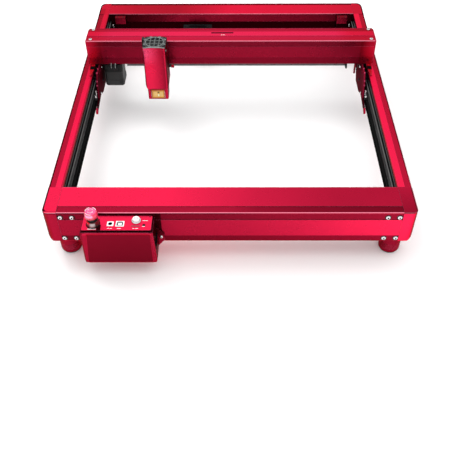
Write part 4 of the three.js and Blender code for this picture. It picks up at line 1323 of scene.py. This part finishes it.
def pulley(node, body, upright=False, shaft=None):
    """Toothed barrel between flanges; shaft gives the z of its lower and upper ends."""
    if upright:
        width, bore = 11.0, 2.6
        middle = centre(node)
        middle.z = world(0, 0, X_PULLEY_Z).z
        matrix = place(middle)
    else:
        lo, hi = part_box(node)
        width, bore = (hi.x - lo.x) / MM, 3.2
        middle = centre(node)
        middle.x = lo.x
        matrix = place(middle, (1, 0, 0))
    profile = [
        (bore, 0), (8.4, 0), (8.6, 0.15), (8.6, 0.6), (8.0, 0.8), (6.1, 0.95), (6.1, 1.0),
        (6.1, width - 1.0), (6.1, width - 0.95), (8.0, width - 0.8), (8.6, width - 0.6),
        (8.6, width - 0.15), (8.4, width), (bore, width), (bore, 0),
    ]

    def teeth(angle):
        return 6.1 - (0.55 if math.cos(angle * 20) > 0.1 else 0.0)

    part = Part().lathe(profile, 120, matrix, shape={6: teeth, 7: teeth})
    if shaft:
        low, high = (z - X_PULLEY_Z for z in shaft)
        rod = [(0, low), (2.2, low), (2.5, low + 0.3), (2.5, high - 0.3), (2.2, high), (0, low)]
        rod[-1] = (0, high)
        part.lathe(rod, 32, matrix)
    part.finish(f"{node}_toothed", "bare_aluminium", body=body, smooth=30, replaces=node)


pulley("left_y_pulley", "y_drive")
pulley("right_y_pulley", "y_drive")
pulley("left_y_idler", "left_idler")
pulley("right_y_idler", "right_idler")
pulley("x_drive_pulley", "x_drive", upright=True, shaft=(-18.0, 40.0))
pulley("x_idler_pulley", "x_idler", upright=True)

AXLE = [(0, 0), (4.0, 0), (4.3, 0.4), (4.3, 0.9), (2.3, 1.1), (2.3, 12.0), (0, 12.0)]
for side, s in SIDES:
    start = centre(f"{side}_y_idler") - Vector((5.5 * MM * s, 0, 0))
    Part().lathe(AXLE, 36, place(start, (s, 0, 0))).finish(
        f"{side}_y_idler_axle", "screw_steel", "steel"
    )

# ---------------------------------------------------------------- inner side of the rear beam
for side, s in SIDES:
    for label, x, spin in (("top", 232.5, 0.2), ("top2", 245.5, 0.9)):
        screw(
            f"screw_bearing_{side}_{label}", world(s * x, 606.0, -3.0), UP,
            radius=1.6, height=0.8, spin=spin, mat="screw_socket_dark",
        )
    screw(
        f"screw_rear_inner_{side}", world(s * 258.0, 611.8, -26.0), FRONT,
        radius=3.4, height=2.0, spin=0.5,
    )

# Y motor: bracket, screws on its right face, plug and cable
motor_left, motor_right = extent("y_motor")[0]
bracket = [(613.6, -66), (613.6, -24), (611.2, -24), (611.2, -66)]
Part().prism(bracket, "x", -104, -42).finish("y_motor_bracket", "black_metal", bevel=0.4)
for k, (dy, dz) in enumerate(((-12.5, -12.5), (12.5, -12.5), (-12.5, 12.5), (12.5, 12.5))):
    screw(
        f"screw_y_motor_{k}", world(motor_right, 596 + dy, -47.5 + dz), (1, 0, 0),
        radius=2.3, height=1.4, spin=k,
    )
Part().box(motor_left + 4, motor_left + 15, 582.5, 590.5, -68.5, -64.6).finish(
    "y_motor_plug", "white_plastic", bevel=0.4
)
Y_CABLE = [(-83, 586, -67.5), (-83, 600, -69.5), (-110, 610.5, -62.0), (-170, 611.3, -60.0),
           (-226, 611.5, -58.5)]
Part().tube(smooth_path([world(*p) for p in Y_CABLE], 10), 1.6).finish(
    "y_motor_cable", "cable_sheath", "black_plastic"
)

# ---------------------------------------------------------------- gantry ends
# In these tables y is measured back from the front face of the gantry cover.
END_PLATE = [(1.2, 3.4), (46.8, 3.4), (46.8, 51.2), (45.6, 52.4), (2.4, 52.4), (1.2, 51.2)]  # y, z
END_SCREWS = ((8.5, 44.5), (39.5, 44.5), (24, 10.5))  # y, z
# y, z, finish
PLATE_SCREWS = (
    (27, -18, "screw_socket_dark"),
    (38, -33.0, "screw_socket_dark"),
    (10.0, -8.6, "screw_steel"),
    (-30.0, -42.6, "screw_steel"),
    (2, -33.0, "screw_socket_dark"),
)
CLAMP = [(-60, -37.6), (-38, -37.6), (-38, -39.8), (-60, -39.8)]  # y, z
ROLLER = [(0, 0), (4.6, 0), (5.2, 0.5), (5.2, 2.4), (4.6, 2.9), (2.4, 3.0), (2.4, 3.2), (0, 3.2)]
WIPER = [(263.2, -17.5), (266.0, -38.0), (268.6, -38.0), (270.6, -17.5), (270.6, 2.5),
         (263.2, 2.5)]  # distance from x = 0, y
# distance from x = 0, y, z, facing
SPACERS = ((256.0, -16.4, 1.4, UP), (255.9, -30.6, 1.4, UP), (255.7, -40.4, -8.8, FRONT),
           (255.7, -44.4, -15.5, FRONT))
SPACER = [(0, 0), (1.3, 0), (1.5, 0.3), (1.5, 2.0), (1.3, 2.4), (0.7, 2.5), (0, 2.1)]
ARM_TIP = [(-84.5, -53.9), (-84.5, -48.8), (-80.0, -46.0), (-76.0, -45.5), (-76.0, -52.9)]  # y, z


def behind(outline):
    """y, z outline moved from the gantry cover's front face to the frame's."""
    return [(COVER_Y + y, z) for y, z in outline]


def end_plate(side, s):
    Part().prism(behind(END_PLATE), "x", s * 273.1, s * 275.4).finish(
        f"{side}_gantry_end_plate", "red_anodised_end", RED, "gantry", bevel=0.5
    )
    for k, (y, z) in enumerate(END_SCREWS):
        screw(
            f"screw_{side}_end_plate_{k}", world(s * 275.4, COVER_Y + y, z), (s, 0, 0), "gantry",
            radius=2.7, height=1.6, spin=0.4 * k,
        )
    for end, x, y, spin in (("front", 266.2, 7.6, 0.2), ("rear", 265.6, 43.6, 0.9)):
        screw(
            f"screw_{side}_cover_{end}", world(s * x, COVER_Y + y, 52.1), UP, "gantry",
            radius=3.4, height=1.9, spin=spin,
        )


def side_plate_screws(side, s, inner_x):
    for k, (y, z, finish) in enumerate(PLATE_SCREWS):
        screw(
            f"screw_{side}_plate_{k}", world(inner_x, COVER_Y + y, z), (-s, 0, 0), "gantry",
            radius=2.7, height=1.7, spin=0.5 * k, mat=finish,
        )


def belt_clamp(side, s):
    """Clamp on the outer side of the side plate."""
    Part().prism(behind(CLAMP), "x", s * 257.2, s * 266.4).finish(
        f"{side}_belt_clamp", "black_metal", body="gantry", bevel=0.3
    )
    for k, (x, y, radius, spin) in enumerate(((261.6, -41.0, 1.9, 0.3), (261.2, -52.5, 3.3, 0.8))):
        screw(
            f"screw_{side}_belt_clamp_{k}", world(s * x, COVER_Y + y, -37.6), UP, "gantry",
            radius=radius, height=4.0, spin=spin,
        )


def roller(side, s):
    """Eccentric roller near the front of the side plate."""
    Part().lathe(ROLLER, 40, place(world(s * 257.3, COVER_Y - 49.0, -29.0), (s, 0, 0))).finish(
        f"{side}_eccentric_roller", "screw_steel", "steel", "gantry"
    )


def wiper(side, s):
    """Bright block over the rail opening, with its black insert."""
    outline = [(s * x, COVER_Y + y) for x, y in WIPER]
    Part().prism(outline, "z", 0.35, 2.7).finish(
        f"{side}_wiper_block", "red_gloss_block", "red_gloss_plastic", "gantry", bevel=0.4
    )
    x0, x1 = sorted((s * 262.6, s * 270.9))
    Part().box(x0, x1, COVER_Y - 17.5, COVER_Y - 7.0, 2.45, 3.2).finish(
        f"{side}_wiper_insert", "dark_inside", "black_plastic", "gantry", bevel=0.15
    )


def rail_spacers(side, s):
    for k, (x, y, z, facing) in enumerate(SPACERS):
        Part().lathe(SPACER, 24, place(world(s * x, COVER_Y + y, z), facing)).finish(
            f"{side}_rail_spacer_{k}", "red_anodised_spacer", RED, "gantry"
        )


def arm_tip(side, s, inner_x):
    """Soft tip of the forward arm, a little wider than the plate."""
    x0, x1 = sorted((inner_x - s * 0.4, inner_x + s * 3.4))
    Part().prism(behind(ARM_TIP), "x", x0, x1).finish(
        f"{side}_arm_tip", "red_anodised_tip", RED, "gantry", bevel=0.3
    )


for side, s in SIDES:
    inner_x = extent(f"{side}_side_plate")[0][0 if s > 0 else 1]
    end_plate(side, s)
    side_plate_screws(side, s, inner_x)
    belt_clamp(side, s)
    roller(side, s)
    wiper(side, s)
    rail_spacers(side, s)
    arm_tip(side, s, inner_x)

# Slot in the cover: a dark block stands for the shade inside it, with two small printed rings in
# front of it
slot = rounded_rect(-38.5, 6.1, COVER_Y + 26.6, COVER_Y + 33.4, 1.0, 3)
Part().prism(slot, "z", 50.4, 52.35).finish(
    "gantry_slot_shade_block", "dark_inside", "black_plastic", "gantry"
)
part = Part()
for x in (-17.2, -12.6):
    part.torus(world(x, COVER_Y + 22.2, 53.02), 0.95, 0.3, 20)
part.finish("gantry_slot_marks", "white_print", "white_plastic", "gantry")

# ---------------------------------------------------------------- X motor
(motor_x0, motor_x1), (motor_y0, motor_y1), (motor_z0, _) = extent("x_motor")
SCREW_INSET = 4.6
for k in range(4):
    x = (motor_x0 + SCREW_INSET, motor_x1 - SCREW_INSET)[k % 2]
    y = (motor_y0 + SCREW_INSET, motor_y1 - SCREW_INSET)[k // 2]
    screw(
        f"screw_x_motor_{k}", world(x, y, motor_z0), DOWN, "gantry",
        radius=2.2, height=1.2, spin=k, mat="guard_wire",
    )
screw(
    "screw_x_motor_face", world(motor_x1 - 6.5, motor_y0, -39.0), FRONT, "gantry",
    radius=1.7, height=0.9, mat="black_plastic",
)
Part().box(-239.5, -221.5, motor_y0 - 3.4, motor_y0 + 0.3, -10.5, -2.2).finish(
    "x_motor_socket", "black_plastic", body="gantry", bevel=0.5
)
# x from the first point, y from the motor's front, z
LEAD = ((0, -3.0, -5.0), (0.2, -5.2, -1.5), (0.4, -3.2, 3.2), (0.5, 3.0, 7.0))
part = Part()
for k in range(4):
    stations = [world(-236.5 + k * 4.0 + x, motor_y0 + y, z) for x, y, z in LEAD]
    part.tube(smooth_path(stations, 6), 0.62, 8, mat=k)
part.finish("x_motor_leads", ["cable_sheath", "guard_wire"] * 2, "black_plastic", "gantry")
rim_outer, rim_inner = (
    rounded_rect(motor_x0 + d, motor_x1 - d, motor_z0 + d + 0.4, -11.8 - d, radius, 6)
    for d, radius in ((1.2, 4.0), (2.4, 3.0))
)
Part().hollow_prism(rim_outer, rim_inner, "y", motor_y0 - 0.25, motor_y0 + 0.8).finish(
    "x_motor_face_rim", "charcoal_housing", "black_metal", "gantry", bevel=0.15
)

# Right end of the gantry: end stop of the X rail and limit switch bracket
END_STOP = [(6, 0.6), (24, 0.6), (24, -5.4), (20, -7.2), (2, -8.4), (1, -6.4)]  # y, z
LIMIT = [(-1.2, 2.6), (3.2, 2.6), (3.2, -15.0), (0.4, -17.6), (-1.2, -17.6)]  # y, z
Part().prism(behind(END_STOP), "x", 223.4, 226.8).finish(
    "x_rail_end_stop", "black_plastic", body="gantry", bevel=0.5
)
Part().prism(behind(LIMIT), "x", 240.0, 243.0).finish(
    "x_limit_bracket", "red_dark_anodised", body="gantry", bevel=0.3
)
screw(
    "screw_x_limit", world(240.0, COVER_Y + 0.9, -12.0), (-1, 0, 0), "gantry",
    radius=1.7, height=1.0,
)

# ---------------------------------------------------------------- carriage
for k, (dx, dy) in enumerate(((-17, 6), (12, 6), (-17, 26), (12, 26))):
    screw(
        f"screw_bracket_{k}", world(LASER_X + dx, COVER_Y + dy, -15.7), DOWN, "x_carriage",
        radius=2.4, height=1.4, spin=k,
    )
for k, z in enumerate((8, 30, 52)):
    for j, dx in enumerate((-14.5, 14.5)):
        screw(
            f"screw_z_guide_{k}{j}", world(LASER_X + dx, COVER_Y - 18.0, z), FRONT, "x_carriage",
            radius=2.2, height=1.2, spin=k + j, mat="guard_wire",
        )
# radius, height: a plain stem, then the knurled knob
KNOB = [
    (0, 0), (1.4, 0), (1.6, 0.2), (1.6, 4.2), (2.3, 4.3), (2.7, 4.6), (2.9, 5.0), (2.9, 9.0),
    (2.7, 9.5), (2.1, 9.8), (0, 9.8),
]
knob_start = centre("focus_knob")
knob_start.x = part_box("focus_knob")[0].x
knurl = lobed(2.95, depth=0.3, power=2)
Part().lathe(
    KNOB, 72, place(knob_start, (1, 0, 0)), mat_of=lambda i: int(i < 4), shape={6: knurl, 7: knurl}
).finish(
    "focus_knob_knurled", ["red_gloss_block", "black_plastic"], RED, "focus_screw", smooth=35,
    replaces="focus_knob",
)

# ---------------------------------------------------------------- fan guard
laser_front, laser_back = extent("laser_housing")[1]
fan_x = centre("fan_rotor").x / MM
fan_y = laser_front + 19.3
guard_z = extent("fan_frame")[2][1]
OPENING = 16.4  # radius of the guard opening


def clamp(value, low, high):
    return min(high, max(low, value))


# Rim: a rounded square that bulges at eight points, around the opening
rim_outer, rim_inner = [], []
for k in range(96):
    angle = 2 * math.pi * k / 96
    cos, sin = math.cos(angle), math.sin(angle)
    reach = 18.9 / max(abs(cos), abs(sin)) ** 0.55 + 0.75 * math.cos(8 * angle)
    rim_outer.append((
        fan_x + clamp(reach * cos, -20.3, 20.3),
        fan_y + clamp(reach * sin, -19.4, 21.4),
    ))
    rim_inner.append((fan_x + OPENING * cos, fan_y + 16.0 * sin))
Part().hollow_prism(rim_outer, rim_inner, "z", guard_z - 0.05, guard_z + 1.3).finish(
    "fan_guard_rim", "guard_plastic", "black_plastic", "laser", bevel=0.3
)

# Wire: eight small loops, one around the opening, and an arch along the front
part = Part()
LOOP_REACH = 20.832
for k in range(8):
    angle = 2 * math.pi * (k + 0.5) / 8
    x = fan_x + clamp(LOOP_REACH * math.cos(angle), -18.0, 18.0)
    y = fan_y + clamp(LOOP_REACH * math.sin(angle), -17.2, 17.2)
    part.torus(world(x, y, guard_z + 1.5), 1.9, 0.38, 24)
part.torus(world(fan_x, fan_y, guard_z + 1.4), 16.3, 0.5, 64)
arch = []
for k in range(13):
    rise = 0.3 + 0.9 * math.sin(math.pi * k / 12)
    arch.append(world(fan_x - 19.6 + 39.2 * k / 12, laser_front + 0.2, guard_z + rise))
part.tube(arch, 0.55, 8)
part.finish("fan_guard_loops", "guard_wire", "steel", "laser", smooth=60)

long_bars, cross_bars, cells = Part(), Part(), Part()
for dx in (-8.0, 0.0, 8.0):
    half = math.sqrt(OPENING**2 - dx * dx)
    x = fan_x + dx
    long_bars.box(
        x - 0.55, x + 0.55, fan_y - half, fan_y + half, guard_z + 0.1, guard_z + 1.3
    )
long_bars.finish(
    "fan_guard_bars_long", "guard_bar_plastic", "black_plastic", "laser", bevel=0.2
)
for dy in (-5.6, 5.6):
    half = math.sqrt(OPENING**2 - dy * dy)
    y = fan_y + dy
    cross_bars.box(
        fan_x - half, fan_x + half, y - 0.6, y + 0.6, guard_z + 0.1, guard_z + 1.25
    )
cross_bars.finish(
    "fan_guard_bars_cross", "guard_bar_plastic", "black_plastic", "laser", bevel=0.2
)
for dx in (-12.0, -4.0, 4.0, 12.0):
    for dy in (-10.4, 0.0, 10.4):
        if math.hypot(dx, dy) <= 15.0:
            cells.torus(world(fan_x + dx, fan_y + dy, guard_z + 1.0), 2.9, 0.2, 24)
cells.finish("fan_guard_cells", "guard_bar_plastic", "black_plastic", "laser", smooth=60)
for k in range(4):
    angle = math.pi / 4 + k * math.pi / 2
    x, y = fan_x + 23.4 * math.cos(angle), fan_y + 22.4 * math.sin(angle)
    screw(
        f"screw_fan_{k}", world(x, y, guard_z + 0.9), UP, "laser",
        radius=1.7, height=1.1, spin=k, mat="screw_socket_dark",
    )

# Front lip of the housing, arched up to the guard
LIP = 19.9  # half width
lip = [(fan_x - LIP, guard_z - 4.6)]
for k in range(15):
    lip.append((fan_x - LIP + 2 * LIP * k / 14, guard_z - 0.9 + 1.1 * math.sin(math.pi * k / 14)))
lip.append((fan_x + LIP, guard_z - 4.6))
Part().prism(lip, "y", laser_front - 0.35, laser_front + 0.25).finish(
    "laser_front_lip", "red_anodised_module", RED, "laser", bevel=0.15
)


# ---------------------------------------------------------------- fan rotor
def add_blade(part, middle, start):
    """Swept, twisted blade, as a grid of 6 stations outwards by 7 across the chord."""
    root, tip, half_thickness = 6.1, 14.3, 0.35
    top, bottom = [], []
    for i in range(6):
        radius = root + (tip - root) * i / 5
        pitch = math.radians(48 - 20 * i / 5)
        chord = 6.4 + 2.6 * i / 5
        points = []
        for j in range(7):
            t = j / 6 - 0.5
            angle = start + 0.10 * i + math.cos(pitch) * chord * t / radius
            z = math.sin(pitch) * chord * t + 0.5 * (1 - 4 * t * t)
            points.append(Vector((radius * math.cos(angle), radius * math.sin(angle), z)))
        top.append(points)
    offset = Vector((0, 0, half_thickness))
    bottom = [[part_point - offset for part_point in points] for points in top]
    top = [[part.vert(middle + (p + offset) * MM) for p in points] for points in top]
    bottom = [[part.vert(middle + p * MM) for p in points] for points in bottom]
    for i in range(5):
        for j in range(6):
            part.face((top[i][j], top[i][j + 1], top[i + 1][j + 1], top[i + 1][j]))
            part.face((bottom[i][j], bottom[i + 1][j], bottom[i + 1][j + 1], bottom[i][j + 1]))
    edge = [(0, j) for j in range(7)] + [(i, 6) for i in range(1, 6)]
    edge += [(5, j) for j in range(5, -1, -1)] + [(i, 0) for i in range(4, 0, -1)]
    for (i, j), (i2, j2) in zip(edge, edge[1:] + edge[:1]):
        part.face((top[i][j], bottom[i][j], bottom[i2][j2], top[i2][j2]))


HUB = [(0, -4.4), (6.2, -4.4), (6.5, -4.0), (6.5, 3.6), (6.0, 4.3), (3.0, 4.5), (0, 4.5)]
BLADES = 7
rotor = world(fan_x, fan_y, 0)
rotor.z = centre("fan_rotor").z
part = Part().lathe(HUB, 48, place(rotor))
for k in range(BLADES):
    add_blade(part, rotor, 2 * math.pi * k / BLADES)
part.finish("fan_rotor_blades", "black_plastic", body="fan", smooth=50, replaces="fan_rotor")

# ---------------------------------------------------------------- laser module
# Cable plug at the left rear, and its short cable
plug = rounded_rect(
    LASER_X - 24.6, LASER_X - 20.4, laser_back - 13.5, laser_back - 3.0, 1.0, 4
)
Part().prism(plug, "z", 60.0, 75.5).finish(
    "laser_cable_plug", "black_plastic", body="laser", bevel=0.4
)
# x from the module's middle, y from its back, z
LASER_CABLE = ((-22.6, -8, 60.5), (-22.9, -8, 54), (-22.6, -7.5, 48), (-21.0, -7, 43),
               (-18.6, -6.8, 39.5))
stations = [world(LASER_X + x, laser_back + y, z) for x, y, z in LASER_CABLE]
Part().tube(smooth_path(stations, 8), 1.3).finish(
    "laser_cable", "cable_sheath", "black_plastic", "laser"
)
# dark slots stand for the shade inside the vent openings
for side, s in SIDES:
    part = Part()
    for k in range(7):
        z = 8.0 + k * 5.2
        x = LASER_X + s * (20.3 + 1.7 * (71.2 - z) / 75.2)  # the housing widens downwards
        outline = rounded_rect(laser_front + 9.0, laser_front + 30.0, z, z + 1.9, 0.9, 4)
        part.prism(outline, "x", x - 0.25, x + 0.12)
    part.finish(f"laser_vents_{side}", "dark_inside", "black_plastic", "laser")
for k, (_, s) in enumerate(SIDES):
    screw(
        f"screw_laser_side_{k}", world(LASER_X + s * 20.3, laser_front + 8.0, 65.5), (s, 0, 0),
        "laser", radius=1.6, height=0.9, spin=k, mat="guard_wire",
    )
(x0, x1), (window_front, _), (z0, z1) = extent("laser_window")
Part().hollow_prism(
    rounded_rect(x0 + 0.1, x1 - 0.1, z0 + 0.1, z1 - 0.1, 0.6, 4),
    rounded_rect(x0 + 1.7, x1 - 1.7, z0 + 1.5, z1 - 1.9, 0.8, 4),
    "y", window_front - 0.5, window_front + 0.1,
).finish("laser_window_gasket", "amber_gasket", "amber_window", "laser", bevel=0.12)
lens = [(0, -0.9), (1.6, -0.75), (2.8, -0.35), (3.3, 0.0), (3.3, 0.5), (0, 0.5)]
Part().lathe(lens, 36, place(base_point("laser_lens_barrel"))).finish(
    "laser_lens", "lens_glass", "amber_window", "laser", smooth=60
)


# ---------------------------------------------------------------- stage, lights, camera (metres)
def add_floor():
    grid = bmesh.new()
    bmesh.ops.create_grid(grid, x_segments=2, y_segments=2, size=6.0)
    mesh = bpy.data.meshes.new("floor")
    grid.to_mesh(mesh)
    grid.free()
    floor = bpy.data.objects.new("floor", mesh)
    bpy.context.scene.collection.objects.link(floor)
    white = bpy.data.materials.new("floor_white")
    white.use_nodes = True
    bsdf = white.node_tree.nodes["Principled BSDF"]
    bsdf.inputs["Base Color"].default_value = (0.92, 0.92, 0.92, 1)
    bsdf.inputs["Roughness"].default_value = 0.75
    mesh.materials.append(white)
    floor.location.z = cad_lo.z - 0.0003


def area_light(name, location, target, width, height, power):
    light = bpy.data.lights.new(name, "AREA")
    light.shape = "RECTANGLE"
    light.size = width
    light.size_y = height
    light.energy = power
    light.color = (1, 1, 1)
    ob = bpy.data.objects.new(name, light)
    bpy.context.scene.collection.objects.link(ob)
    ob.location = location
    ob.visible_glossy = False
    ob.rotation_mode = "QUATERNION"
    ob.rotation_quaternion = (Vector(target) - Vector(location)).to_track_quat("-Z", "Y")


def add_world():
    """Grey studio sky that brightens with height."""
    studio = bpy.data.worlds.new("studio")
    bpy.context.scene.world = studio
    studio.use_nodes = True
    graph = Graph(studio.node_tree)
    direction = graph.node("TexCoord").outputs["Generated"]
    height = graph.node("SeparateXYZ", {0: direction}).outputs[2]
    ramp = graph.node("ValToRGB", {0: height})
    elements = ramp.color_ramp.elements
    elements[0].position, elements[0].color = 0.0, (0.55, 0.55, 0.55, 1)
    elements[1].position, elements[1].color = 1.0, (0.85, 0.85, 0.85, 1)
    for place_, grey in ((0.12, 0.60), (0.45, 0.98), (0.85, 1.0)):
        elements.new(place_).color = (grey, grey, grey, 1)
    sky = graph.node("Background", {0: ramp.outputs[0], 1: 1.0})
    graph.node("OutputWorld", {0: sky.outputs[0]})


def add_camera():
    """Camera in front of and above the machine, looking down at it."""
    dip = math.radians(45.92)
    turn_left = 0.00621958  # radians
    data = bpy.data.cameras.new("camera")
    camera = bpy.data.objects.new("camera", data)
    bpy.context.scene.collection.objects.link(camera)
    data.sensor_width = 36.0
    data.lens = 51.5895652
    camera.location = (0.0066, ORIGIN[1] - 0.712, ORIGIN[2] + 0.698)
    camera.rotation_mode = "QUATERNION"
    tilt = Quaternion((1, 0, 0), math.pi / 2 - dip)
    camera.rotation_quaternion = tilt @ Quaternion((0, 1, 0), turn_left)
    bpy.context.scene.camera = camera


add_floor()
area_light("key", (-1.0, 0.7, 2.0), target=(-0.1, 0.0, 0.05), width=1.4, height=1.2, power=22)
area_light("top", (0.3, -0.3, 2.4), target=(0.0, 0.0, 0.0), width=2.4, height=2.4, power=24)
area_light("front", (0.4, -2.2, 1.0), target=(0.0, -0.2, 0.05), width=1.2, height=1.2, power=9)
add_world()
add_camera()
bpy.context.scene.view_settings.view_transform = "Standard"
